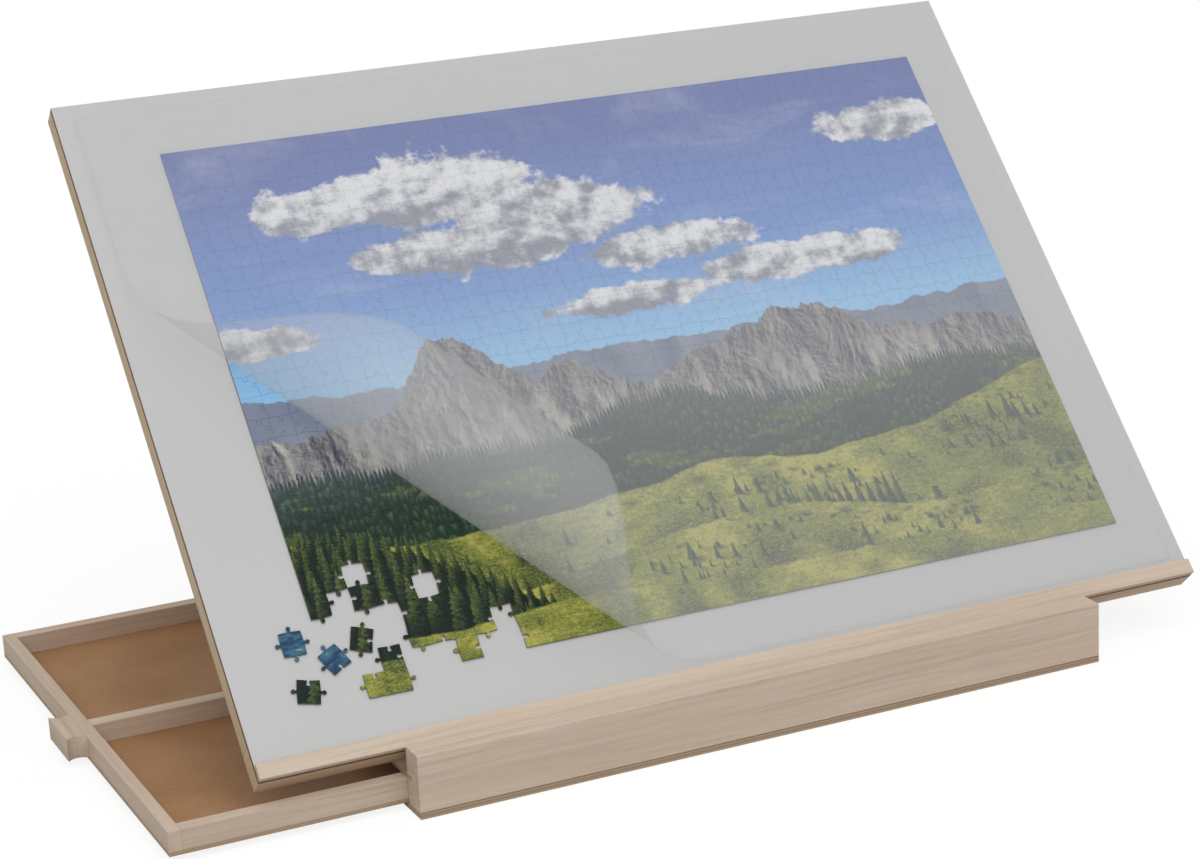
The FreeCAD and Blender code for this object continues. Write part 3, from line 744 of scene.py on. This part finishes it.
def lobe(tree, across, up, middle, height, wide, tall):
    # a soft oval, 1 in its middle
    x = calc(tree, "MULTIPLY_ADD", across, 1 / wide, -middle / wide)
    y = calc(tree, "MULTIPLY_ADD", up, 1 / tall, -height / tall)
    far = calc(tree, "MULTIPLY_ADD", x, x, calc(tree, "MULTIPLY", y, y))
    return calc(tree, "EXPONENT", calc(tree, "MULTIPLY", far, -1.0))


def below(tree, up, height, soft):
    return smooth(tree, calc(tree, "SUBTRACT", height, up), -soft, soft)


def puffs(tree, place, scale, detail=3.0):
    # heaped round puffs, 1 at the top of each
    made = put(tree, "ShaderNodeTexVoronoi", {"Vector": place, "Scale": scale, "Detail": detail,
                                              "Roughness": 0.6, "Lacunarity": 2.3, "Randomness": 1.0},
               voronoi_dimensions="2D", feature="F1")
    made.normalize = True
    return calc(tree, "SUBTRACT", 1.0, made.outputs["Distance"])


def litRelief(tree, place, scale, step, detail, kind="RIDGED_MULTIFRACTAL", roughness=0.55):
    # light on a rough slope, from the difference of its height over a small step
    here = noise(tree, place, scale, detail, roughness, 0.35, kind)
    there = noise(tree, stretch(tree, place, (1, 1, 1), step), scale, detail, roughness, 0.35, kind)
    return calc(tree, "SUBTRACT", here, there)


def canopy(tree, seen, wide, tall, shift):
    # conifers packed over a slope: light at each tip and on its left side, dark between
    place = stretch(tree, seen, (1 / wide, 1 / tall, 1.0), shift)
    cells = put(tree, "ShaderNodeTexVoronoi", {"Vector": place, "Scale": 1.0, "Randomness": 0.9},
                voronoi_dimensions="2D", feature="F1")
    away = put(tree, "ShaderNodeVectorMath", {0: place, 1: cells.outputs["Position"]}, operation="SUBTRACT")
    parts = put(tree, "ShaderNodeSeparateXYZ", {0: away.outputs[0]})
    x, y = parts.outputs["X"], parts.outputs["Y"]
    chance = put(tree, "ShaderNodeSeparateColor", {0: cells.outputs["Color"]}).outputs[0]
    tip = calc(tree, "MULTIPLY_ADD", calc(tree, "ABSOLUTE", x), -1.5, calc(tree, "MULTIPLY_ADD", y, 0.9, 0.42))
    tip = calc(tree, "MULTIPLY_ADD", x, -0.45, tip)
    return calc(tree, "MULTIPLY", tip, calc(tree, "MULTIPLY_ADD", chance, 0.9, 0.4), clamp=True)


# Trees in rows and single ones: half is the half width at a tier's foot, notch what its top
# adds to it, both in spacings.
conifer = {"tiers": 6.5, "half": 0.46, "notch": -0.20, "ragged": 0.22, "roughScale": 2.6, "fineScale": 7.0,
           "soft": 0.03}
singleTree = {"tiers": 6.0, "half": 0.22, "notch": -0.09, "ragged": 0.08, "roughScale": 9.0, "foot": 0.24,
              "height": 0.56, "squash": 0.62, "soft": 0.015}


def conifers(tree, across, up, line, spacing, tall, seed):
    # a row of conifers on a line: where they stand, and how light each place on them is
    spread = calc(tree, "MULTIPLY_ADD", across, 1 / spacing, seed * 0.37)
    cell = calc(tree, "FLOOR", spread)
    chance = put(tree, "ShaderNodeTexWhiteNoise", {"W": calc(tree, "ADD", cell, seed)},
                 noise_dimensions="1D")
    second = put(tree, "ShaderNodeSeparateColor", {0: chance.outputs["Color"]}).outputs[1]
    middle = calc(tree, "MULTIPLY_ADD", chance.outputs["Value"], 0.3, 0.35)
    x = calc(tree, "SUBTRACT", calc(tree, "SUBTRACT", spread, cell), middle)
    height = calc(tree, "MULTIPLY_ADD", second, 0.5 * tall, 0.5 * tall)
    v = calc(tree, "DIVIDE", calc(tree, "SUBTRACT", up, line), height)
    place = put(tree, "ShaderNodeCombineXYZ", {0: across, 1: up, 2: seed}).outputs[0]
    rough = calc(tree, "SUBTRACT", noise(tree, place, conifer["roughScale"] / spacing, 3, 0.7), 0.5)
    tier = calc(tree, "FRACT", calc(tree, "ADD", calc(tree, "MULTIPLY_ADD", v, conifer["tiers"], second),
                                    calc(tree, "MULTIPLY", rough, 1.2)))
    half = calc(tree, "MULTIPLY", calc(tree, "SUBTRACT", 1.0, v),
                calc(tree, "MULTIPLY_ADD", tier, conifer["notch"], conifer["half"]))
    half = calc(tree, "MULTIPLY_ADD", rough, conifer["ragged"], half)
    inside = smooth(tree, calc(tree, "SUBTRACT", half, calc(tree, "ABSOLUTE", x)), -conifer["soft"],
                    conifer["soft"])
    stands = calc(tree, "MULTIPLY", inside, smooth(tree, v, 1.02, 0.98))
    fine = calc(tree, "SUBTRACT", noise(tree, place, conifer["fineScale"] / spacing, 4, 0.75), 0.5)
    light = calc(tree, "MULTIPLY_ADD", x, -1.1, calc(tree, "MULTIPLY_ADD", tier, -0.32, 0.38))
    light = calc(tree, "ADD", light, calc(tree, "MULTIPLY_ADD", fine, 2.2, calc(tree, "MULTIPLY", rough, 0.8)))
    return stands, calc(tree, "MULTIPLY_ADD", v, 0.35, light, clamp=True), v


def loneTrees(tree, seen, size, shift, share):
    # single conifers scattered on grass, each with a soft shadow beside its foot
    place = stretch(tree, seen, (1 / size, singleTree["squash"] / size, 1.0), shift)
    cells = put(tree, "ShaderNodeTexVoronoi", {"Vector": place, "Scale": 1.0, "Randomness": 0.75},
                voronoi_dimensions="2D", feature="F1")
    away = put(tree, "ShaderNodeVectorMath", {0: place, 1: cells.outputs["Position"]}, operation="SUBTRACT")
    parts = put(tree, "ShaderNodeSeparateXYZ", {0: away.outputs[0]})
    x, y = parts.outputs["X"], parts.outputs["Y"]
    chance = put(tree, "ShaderNodeSeparateColor", {0: cells.outputs["Color"]})
    grown = calc(tree, "MULTIPLY_ADD", chance.outputs[1], 0.45, 0.55)
    v = calc(tree, "DIVIDE", calc(tree, "ADD", y, singleTree["foot"]),
             calc(tree, "MULTIPLY", grown, singleTree["height"]))
    rough = calc(tree, "SUBTRACT", noise(tree, place, singleTree["roughScale"], 3, 0.7), 0.5)
    tier = calc(tree, "FRACT", calc(tree, "MULTIPLY_ADD", rough, 1.2,
                                    calc(tree, "MULTIPLY", v, singleTree["tiers"])))
    half = calc(tree, "MULTIPLY", calc(tree, "MULTIPLY", calc(tree, "SUBTRACT", 1.0, v), grown),
                calc(tree, "MULTIPLY_ADD", tier, singleTree["notch"], singleTree["half"]))
    half = calc(tree, "MULTIPLY_ADD", rough, singleTree["ragged"], half)
    here = smooth(tree, calc(tree, "SUBTRACT", chance.outputs[0], share), 0.01, -0.01)
    within = smooth(tree, calc(tree, "SUBTRACT", half, calc(tree, "ABSOLUTE", x)), -singleTree["soft"],
                    singleTree["soft"])
    inside = calc(tree, "MULTIPLY", within,
                  calc(tree, "MULTIPLY", smooth(tree, v, -0.01, 0.03), smooth(tree, v, 1.02, 0.98)))
    light = calc(tree, "MULTIPLY_ADD", x, -3.0, calc(tree, "MULTIPLY_ADD", tier, -0.5, 0.5), clamp=True)
    shade = calc(tree, "MULTIPLY", lobe(tree, x, y, 0.16, -singleTree["foot"], 0.20, 0.055), here)
    return calc(tree, "MULTIPLY", inside, here), light, shade


# Each part of the picture is painted over the colour that is there. seen is the place in it.
def skyAndClouds(tree, seen, across, up):
    sky = blendColour(tree, smooth(tree, up, 0.30, 0.50), inks["skyLow"], inks["skyMiddle"])
    sky = blendColour(tree, smooth(tree, up, 0.46, 0.70), sky, inks["skyTop"])
    veil = smooth(tree, noise(tree, stretch(tree, seen, (1.0, 2.4, 1.0)), 5.0, 7, 0.6, 0.5), 0.50, 0.85, 0.0, 0.45)
    sky = blendColour(tree, veil, sky, inks["veil"])
    mask, rise = None, None
    for middle, height, wide, tall in valley["clouds"]:
        one = lobe(tree, across, up, middle, height, wide, tall)
        lift = calc(tree, "MULTIPLY", one, calc(tree, "MULTIPLY_ADD", up, 1 / tall, -height / tall))
        mask = one if mask is None else calc(tree, "MAXIMUM", mask, one)
        rise = lift if rise is None else calc(tree, "ADD", rise, lift)
    flat = stretch(tree, seen, (1.0, 1.25, 1.0))
    lifted = stretch(tree, flat, (1, 1, 1), valley["cloudStep"])
    heap = puffs(tree, flat, valley["heapScale"])
    raised = puffs(tree, lifted, valley["heapScale"])
    wisp = noise(tree, flat, valley["wispScale"], 7, 0.62, 0.2)
    cover = calc(tree, "MULTIPLY_ADD", heap, 0.85, calc(tree, "MULTIPLY_ADD", wisp, 0.75, mask))
    cover = calc(tree, "MULTIPLY_ADD", rise, -0.10, cover)
    dense = smooth(tree, cover, 1.36, 1.52)
    soft = calc(tree, "SUBTRACT", noise(tree, flat, valley["softScale"], 5, 0.55),
                noise(tree, lifted, valley["softScale"], 5, 0.55))
    relief = calc(tree, "MULTIPLY_ADD", rise, 0.26, calc(tree, "SUBTRACT", heap, raised))
    shade = smooth(tree, calc(tree, "MULTIPLY_ADD", soft, 1.6, relief), -0.24, 0.22)
    cloud = blendColour(tree, shade, inks["cloudShade"], inks["cloudLight"])
    return blendColour(tree, dense, sky, cloud)


def hillsAndRocks(tree, seen, across, up, colour):
    far = heightLine(tree, across, *valley["farLine"])
    farLight = smooth(tree, litRelief(tree, stretch(tree, seen, (1, 0.6, 1), (5, 2, 0)), 16.0, (0.006, 0.003, 0), 5),
                      -0.25, 0.25)
    colour = blendColour(tree, below(tree, up, far, 0.0012), colour,
                         blendColour(tree, farLight, inks["farDark"], inks["farLight"]))
    peaks = bulge(tree, across, *valley["peaks"][0])
    for peak in valley["peaks"][1:]:
        peaks = calc(tree, "ADD", peaks, bulge(tree, across, *peak))
    foot, waves, seed = valley["rockLine"]
    ridge = heightLine(tree, across, calc(tree, "ADD", peaks, foot), waves, seed)
    slopes = stretch(tree, seen, (1.0, 0.62, 1.0), (0, 0, 0), (0, 0, 0.15))
    crag = litRelief(tree, slopes, valley["cragScale"], valley["cragStep"], 8, "FBM", 0.72)
    mass = litRelief(tree, slopes, valley["massScale"], valley["massStep"], 6)
    crack = noise(tree, slopes, 30.0, 6, 0.6, 1.5, "RIDGED_MULTIFRACTAL")
    lit = smooth(tree, calc(tree, "MULTIPLY_ADD", mass, 0.45, calc(tree, "MULTIPLY", crag, 1.9)), -0.24, 0.26)
    rock = blendColour(tree, lit, inks["rockDark"], inks["rockLight"])
    rock = blendColour(tree, smooth(tree, crack, 0.55, 0.15, 0.0, 0.45), rock, inks["rockDark"])
    fan = noise(tree, stretch(tree, seen, (1.0, 0.25, 1.0), (3, 0, 0), (0, 0, -0.25)), 46.0, 4, 0.6)
    low = calc(tree, "MULTIPLY", below(tree, up, 0.305, 0.035), smooth(tree, fan, 0.48, 0.62))
    rock = blendColour(tree, calc(tree, "MULTIPLY", low, 0.75), rock, inks["scree"])
    return blendColour(tree, below(tree, up, ridge, 0.0010), colour, rock)


def slopeWoods(tree, seen, across, up, colour):
    slopeLine = heightLine(tree, across, *valley["woodsLine"])
    slopeLine = calc(tree, "ADD", slopeLine, bulge(tree, across, *valley["woodsRise"]))
    edge = conifers(tree, across, up, slopeLine, *valley["woodsTrees"])[0]
    crowns = canopy(tree, seen, *valley["woodsCrowns"])
    broad = noise(tree, stretch(tree, seen, (1.0, 1.8, 1.0), (0, 0, 0), (0, 0, 0.3)), 6.0, 5, 0.6, 0.7)
    farWoods = blendColour(tree, crowns, inks["woodsDark"], inks["woodsFar"])
    farWoods = blendColour(tree, smooth(tree, broad, 0.42, 0.62, 0.0, 0.55), farWoods, inks["woodsDeep"])
    lawn = blendColour(tree, smooth(tree, crowns, 0.0, 1.0), inks["meadowDark"], inks["meadowMiddle"])
    glade = smooth(tree, noise(tree, stretch(tree, seen, (1.0, 2.6, 1.0), (6, 0, 0), (0, 0, -0.2)), 7.0, 6, 0.62, 0.4),
                   0.560, 0.575, 0.0, 0.75)
    farWoods = blendColour(tree, glade, farWoods, lawn)
    mist = smooth(tree, up, 0.16, 0.30, 0.0, 0.22)
    farWoods = blendColour(tree, mist, farWoods, inks["farLight"])
    return blendColour(tree, edge, colour, farWoods)


def meadowsAndNearWoods(tree, seen, across, up, colour):
    # meadow hills with single trees, then near woods, the verge before them and a pool
    blade = noise(tree, stretch(tree, seen, (1.0, 1.6, 1.0)), valley["bladeScale"], 4, 0.75)
    tuft = noise(tree, stretch(tree, seen, (1.0, 1.7, 1.0)), valley["tuftScale"], 6, 0.72)
    ragged = noise(tree, stretch(tree, seen, (1.0, 1.5, 1.0), (9, 0, 0), (0, 0, 0.5)), 9.0, 4, 0.65)
    grove = None
    for middle, height, wide, tall in valley["groves"]:
        one = lobe(tree, across, up, middle, height, wide, tall)
        grove = one if grove is None else calc(tree, "MAXIMUM", grove, one)
    thicket = smooth(tree, calc(tree, "MULTIPLY_ADD", ragged, 1.3, grove), 0.95, 1.15, 0.10, 1.0)
    stands = [loneTrees(tree, seen, size, shift, thicket) for size, shift in valley["smallTrees"]]
    sparser = calc(tree, "MULTIPLY_ADD", thicket, 0.55, 0.15)
    stands.append(loneTrees(tree, seen, *valley["tallTrees"], sparser))

    def meadow(colour, line, rises, shift, wooded):
        hill = heightLine(tree, across, *line)
        for rise in rises:
            hill = calc(tree, "ADD", hill, bulge(tree, across, *rise))
        depth = calc(tree, "SUBTRACT", hill, up)
        fold = litRelief(tree, stretch(tree, seen, (1.0, 1.5, 1.0), (shift, 0, 0), (0, 0, 0.5)),
                         valley["foldScale"], valley["foldStep"], 4, "FBM", 0.5)
        fold = calc(tree, "MULTIPLY_ADD", smooth(tree, depth, 0.0, 0.09), -0.06, calc(tree, "ADD", fold, 0.02))
        fold = calc(tree, "MULTIPLY_ADD", calc(tree, "SUBTRACT", tuft, 0.5), 0.34, fold)
        grass = blendColour(tree, smooth(tree, fold, -0.10, 0.02), inks["meadowDark"], inks["meadowMiddle"])
        grass = blendColour(tree, smooth(tree, fold, 0.0, 0.10), grass, inks["meadowLight"])
        grass = blendColour(tree, smooth(tree, blade, 0.48, 0.68, 0.0, 0.6), grass, inks["meadowDry"])
        grass = blendColour(tree, smooth(tree, blade, 0.48, 0.32, 0.0, 0.65), grass, inks["meadowDark"])
        inside = smooth(tree, depth, 0.012, 0.020)
        for stood, light, shadow in stands if wooded else ():
            grass = blendColour(tree, calc(tree, "MULTIPLY", shadow, 0.6), grass, inks["woodsDark"])
            needles = blendColour(tree, light, inks["woodsDark"], inks["woodsLight"])
            grass = blendColour(tree, calc(tree, "MULTIPLY", stood, inside), grass, needles)
        return blendColour(tree, below(tree, up, hill, 0.0015), colour, grass)

    colour = meadow(colour, *valley["backMeadow"])
    copse, copseLight = conifers(tree, across, up, heightLine(tree, across, *valley["copseLine"]),
                                 *valley["copseTrees"])[:2]
    reach = calc(tree, "ADD", bulge(tree, across, *valley["copseMiddle"]), calc(tree, "MULTIPLY", tuft, 0.3))
    copse = calc(tree, "MULTIPLY", copse, smooth(tree, reach, 0.55, 0.60))
    colour = blendColour(tree, copse, colour, blendColour(tree, copseLight, inks["woodsDeep"], inks["woodsLight"]))
    colour = meadow(colour, *valley["frontMeadow"])

    nearLine = calc(tree, "ADD", heightLine(tree, across, *valley["nearLine"]),
                    bulge(tree, across, *valley["nearRise"]))
    for drop, spacing, tall, seed in valley["nearRows"]:
        line = calc(tree, "SUBTRACT", nearLine, drop)
        stood, light, v = conifers(tree, across, up, line, spacing, tall, seed)
        dim = smooth(tree, v, -0.5, 0.6, 0.10, 1.0)
        needles = blendColour(tree, calc(tree, "MULTIPLY", light, dim), inks["woodsDeep"], inks["woodsLight"])
        behind = below(tree, up, line, 0.001)
        colour = blendColour(tree, calc(tree, "MAXIMUM", stood, behind), colour, needles)
    colour = meadow(colour, *valley["verge"])
    ripple = noise(tree, stretch(tree, seen, (1.0, 3.0, 1.0), (0, 0, 0), (0, 0, 0.6)), 40.0, 4, 0.6)
    water = blendColour(tree, smooth(tree, ripple, 0.42, 0.62), inks["water"], inks["waterLight"])
    water = blendColour(tree, smooth(tree, ripple, 0.60, 0.66), water, inks["reed"])
    shore = calc(tree, "MULTIPLY_ADD", calc(tree, "SUBTRACT", ripple, 0.5), 0.02,
                 calc(tree, "MULTIPLY_ADD", up, 0.35, across))
    pool = calc(tree, "MULTIPLY", smooth(tree, shore, 0.0475, 0.0455), below(tree, up, 0.060, 0.003))
    return blendColour(tree, pool, colour, water)


def pictureColour(tree):
    seen = put(tree, "ShaderNodeAttribute", attribute_name="picture").outputs["Vector"]
    parts = put(tree, "ShaderNodeSeparateXYZ", {0: seen})
    across, up = parts.outputs["X"], parts.outputs["Y"]
    colour = skyAndClouds(tree, seen, across, up)
    for paintOver in (hillsAndRocks, slopeWoods, meadowsAndNearWoods):
        colour = paintOver(tree, seen, across, up, colour)
    return colour


def cardMaterial(name):
    material, tree, shader = newMaterial(name)
    colour = pictureColour(tree)
    place = ownPlace(tree)
    printed = smooth(tree, boardFacing(tree), 0.25, 0.5)
    fleck = noise(tree, place, 900.0, 2, 0.6)
    bare = blendColour(tree, fleck, paint(*puzzle["bareLight"]), paint(*puzzle["bareDark"]))
    feed(tree, shader.inputs["Base Color"], blendColour(tree, printed, bare, colour))
    feed(tree, shader.inputs["Roughness"], smooth(tree, printed, 0.0, 1.0, 0.85, 0.50))
    shader.inputs["Specular IOR Level"].default_value = 0.12
    roughen(tree, shader, noise(tree, place, 350.0, 3, 0.5), 0.05, 0.0002)
    return material


def pieceOutline(column, row, corner, sides):
    lowLeft, lowRight = corner[column, row + 1], corner[column + 1, row + 1]
    highRight, highLeft = corner[column + 1, row], corner[column, row]
    return ([lowLeft] + sides["level", column, row + 1] + [lowRight]
            + sides["upright", column + 1, row][::-1] + [highRight]
            + sides["level", column, row][::-1] + [highLeft] + sides["upright", column, row])


def looseOutline(middleX, middleUp, turn, cell, ways, shown):
    wide, high = cellWide / 2, cellHigh / 2
    corners = [(-wide, -high), (wide, -high), (wide, high), (-wide, high)]
    points = []
    for index, name in enumerate(("low", "right", "high", "left")):
        start, end = corners[index], corners[(index + 1) % 4]
        points.append(start)
        if ways.get(name):
            points += sideLine(start, end, ways[name])
    cosine, sine = math.cos(math.radians(turn)), math.sin(math.radians(turn))
    shownX = puzzle["left"] + (shown[0] + 0.5) * cellWide
    shownUp = puzzle["low"] + (puzzle["rows"] - shown[1] - 0.5) * cellHigh
    outline = []
    for x, up in points:
        seen = picturePoint(shownX + x, shownUp + up)
        x, up = x + cell[0] * cellWide, up + cell[1] * cellHigh
        outline.append(((middleX + x * cosine - up * sine, middleUp + x * sine + up * cosine), seen))
    return outline


card = cardMaterial("picture_card")
cardNodes = cardTree()
cardValues = {"thickness": puzzle["thickness"], "edge round": puzzle["edgeRound"],
              "edge inset": puzzle["edgeInset"], "material": card}
corner, sides = layCells()
outlines = []
for column in range(puzzle["columns"]):
    for row in range(puzzle["rows"]):
        if (column, row) not in openCells:
            outline = pieceOutline(column, row, corner, sides)
            outlines.append([(point, picturePoint(*point)) for point in outline])
laid = applyTree(flatPieces("laid_pieces", outlines), cardNodes, cardValues)
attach(laid, "puzzle")
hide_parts("puzzle_block")

outlines = []
for middleX, middleUp, turn, cells in loosePieces:
    for cell, (ways, shown) in cells.items():
        outlines.append(looseOutline(middleX, middleUp, turn, cell, ways, shown))
spare = applyTree(flatPieces("spare_pieces", outlines), cardNodes, cardValues)
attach(spare, "puzzle")
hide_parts("loose_pieces")
print("jigsaw:", len(laid.data.polygons), "faces laid,", len(spare.data.polygons), "faces loose")


# The clear film.

# Places are on the board; the fold line runs from foldHigh on the left edge to foldLow on the low one.
film = {
    "left": -0.3865, "right": 0.3865, "low": 0.0162, "high": 0.5659, "step": 0.006,
    "foldHigh": 0.4465, "foldLow": -0.0235, "radius": 0.0485, "tighten": 0.0008, "thickness": 0.0003,
    "lift": 0.0223, "colour": (206, 207, 208), "alpha": 0.135, "roughness": 0.42,
}


def filmPoint(x, up):
    # flat up to the fold, then wound back over the jigsaw
    high = Vector((film["left"], film["foldHigh"]))
    low = Vector((film["foldLow"], film["low"]))
    along = (low - high).normalized()
    outward = Vector((along.y, -along.x))
    if outward.x > 0:
        outward = -outward
    away = (Vector((x, up)) - high).dot(outward)
    if away <= 0:
        return onBoard(x, up, film["lift"])
    corner = (Vector((film["left"], film["low"])) - high).dot(outward)
    angle = away / film["radius"]
    radius = film["radius"] - film["tighten"] * away / corner
    run = (Vector((x, up)) - high).dot(along)
    foot = high + along * run + outward * (radius * math.sin(angle))
    return onBoard(foot.x, foot.y, film["lift"] + film["radius"] - radius * math.cos(angle))


def filmMaterial(name):
    material, tree, shader = newMaterial(name)
    place = ownPlace(tree)
    wave = noise(tree, place, 6.0, 3, 0.5)
    shader.inputs["Base Color"].default_value = paint(*film["colour"])
    feed(tree, shader.inputs["Roughness"], smooth(tree, wave, 0.3, 0.7, film["roughness"] - 0.04,
                                                  film["roughness"] + 0.06))
    shader.inputs["IOR"].default_value = 1.46
    shader.inputs["Specular IOR Level"].default_value = 0.18
    shader.inputs["Alpha"].default_value = film["alpha"]
    roughen(tree, shader, wave, 0.10, 0.004)
    return material


def makeFilm():
    acrossCount = round((film["right"] - film["left"]) / film["step"])
    upCount = round((film["high"] - film["low"]) / film["step"])
    points = []
    for j in range(upCount + 1):
        for i in range(acrossCount + 1):
            x = film["left"] + (film["right"] - film["left"]) * i / acrossCount
            up = film["low"] + (film["high"] - film["low"]) * j / upCount
            points.append(filmPoint(x, up))
    row = acrossCount + 1
    faces = [(j * row + i, j * row + i + 1, (j + 1) * row + i + 1, (j + 1) * row + i)
             for j in range(upCount) for i in range(acrossCount)]
    mesh = bpy.data.meshes.new("clear_film")
    mesh.from_pydata(points, [], faces)
    mesh.polygons.foreach_set("use_smooth", [True] * len(mesh.polygons))
    piece = newObject("clear_film", mesh)
    thick = piece.modifiers.new("thickness", "SOLIDIFY")
    thick.thickness = film["thickness"]
    thick.offset = 0
    mesh.materials.append(filmMaterial("clear_film"))
    return piece


sheet = makeFilm()
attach(sheet, "cover")
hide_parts("cover_film")
sheet.visible_shadow = False  # clear film keeps no light from what lies under it
print("film made")


# Floor, light and camera.

studio = {
    "ambient": 0.45, "sun": 1.75, "sunAngle": 70.0, "sunFrom": (-0.12, -0.52, 0.84), "floorHalf": 20.0,
    "floorDrop": 0.0002, "floorDull": (0.60, 0.59, 0.58, 1.0), "floorGlow": 0.85, "glowStrength": 1.02,
    "white": (1.0, 1.0, 1.0, 1.0),
}


def seenByEye(tree):
    # 1 for camera, glossy and transmission rays
    rays = put(tree, "ShaderNodeLightPath").outputs
    both = calc(tree, "MAXIMUM", rays["Is Camera Ray"], rays["Is Glossy Ray"])
    return calc(tree, "MAXIMUM", both, rays["Is Transmission Ray"])


def makeWorld():
    world = bpy.data.worlds.new("studio")
    world.use_nodes = True
    tree = world.node_tree
    plain = tree.nodes["Background"]
    plain.inputs["Color"].default_value = studio["white"]
    plain.inputs["Strength"].default_value = studio["ambient"]
    seen = put(tree, "ShaderNodeBackground", {"Color": studio["white"], "Strength": 1.0})
    mixed = put(tree, "ShaderNodeMixShader", {0: seenByEye(tree), 1: plain.outputs[0], 2: seen.outputs[0]})
    tree.links.new(mixed.outputs[0], tree.nodes["World Output"].inputs["Surface"])
    bpy.context.scene.world = world


def makeFloor():
    mesh = bpy.data.meshes.new("floor")
    half = studio["floorHalf"]
    mesh.from_pydata([(-half, -half, 0), (half, -half, 0), (half, half, 0), (-half, half, 0)], [], [(0, 1, 2, 3)])
    mesh.transform(Matrix.Translation((0, 0, -studio["floorDrop"])))
    floor = newObject("floor", mesh)
    material = bpy.data.materials.new("floor")
    material.use_nodes = True
    tree = material.node_tree
    tree.nodes.remove(tree.nodes["Principled BSDF"])
    dull = put(tree, "ShaderNodeBsdfDiffuse", {"Color": studio["floorDull"]})
    white = put(tree, "ShaderNodeBsdfDiffuse", {"Color": studio["white"]})
    glow = put(tree, "ShaderNodeEmission", {"Color": studio["white"], "Strength": studio["glowStrength"]})
    seen = put(tree, "ShaderNodeMixShader", {0: studio["floorGlow"], 1: white.outputs[0], 2: glow.outputs[0]})
    mixed = put(tree, "ShaderNodeMixShader", {0: seenByEye(tree), 1: dull.outputs[0], 2: seen.outputs[0]})
    tree.links.new(mixed.outputs[0], tree.nodes["Material Output"].inputs["Surface"])
    mesh.materials.append(material)


def makeSun():
    lamp = bpy.data.lights.new("softKey", "SUN")
    lamp.energy = studio["sun"]
    lamp.angle = math.radians(studio["sunAngle"])
    newObject("softKey", lamp).rotation_euler = Vector(studio["sunFrom"]).to_track_quat("Z", "Y").to_euler()


# The camera's turns are in radians, its lens and sensor in mm.
camera = {"place": (-0.95930, -2.06536, 0.84886), "turn": 0.4275, "tip": 0.2852, "roll": -0.0518,
          "lens": 87.28, "sensor": 36.0, "farEnd": 60.0}


def makeCamera():
    data = bpy.data.cameras.new("camera")
    data.lens = camera["lens"]
    data.sensor_width = camera["sensor"]
    data.clip_end = camera["farEnd"]
    eye = newObject("camera", data)
    turned = (Matrix.Rotation(-camera["turn"], 4, "Z") @ Matrix.Rotation(-camera["tip"], 4, "X")
              @ Matrix.Rotation(-camera["roll"], 4, "Y") @ Matrix.Rotation(math.pi / 2, 4, "X"))
    eye.matrix_world = Matrix.Translation(camera["place"]) @ turned
    bpy.context.scene.camera = eye


makeWorld()
makeFloor()
makeSun()
makeCamera()
bpy.context.scene.view_settings.view_transform = "Standard"
print("studio ready")
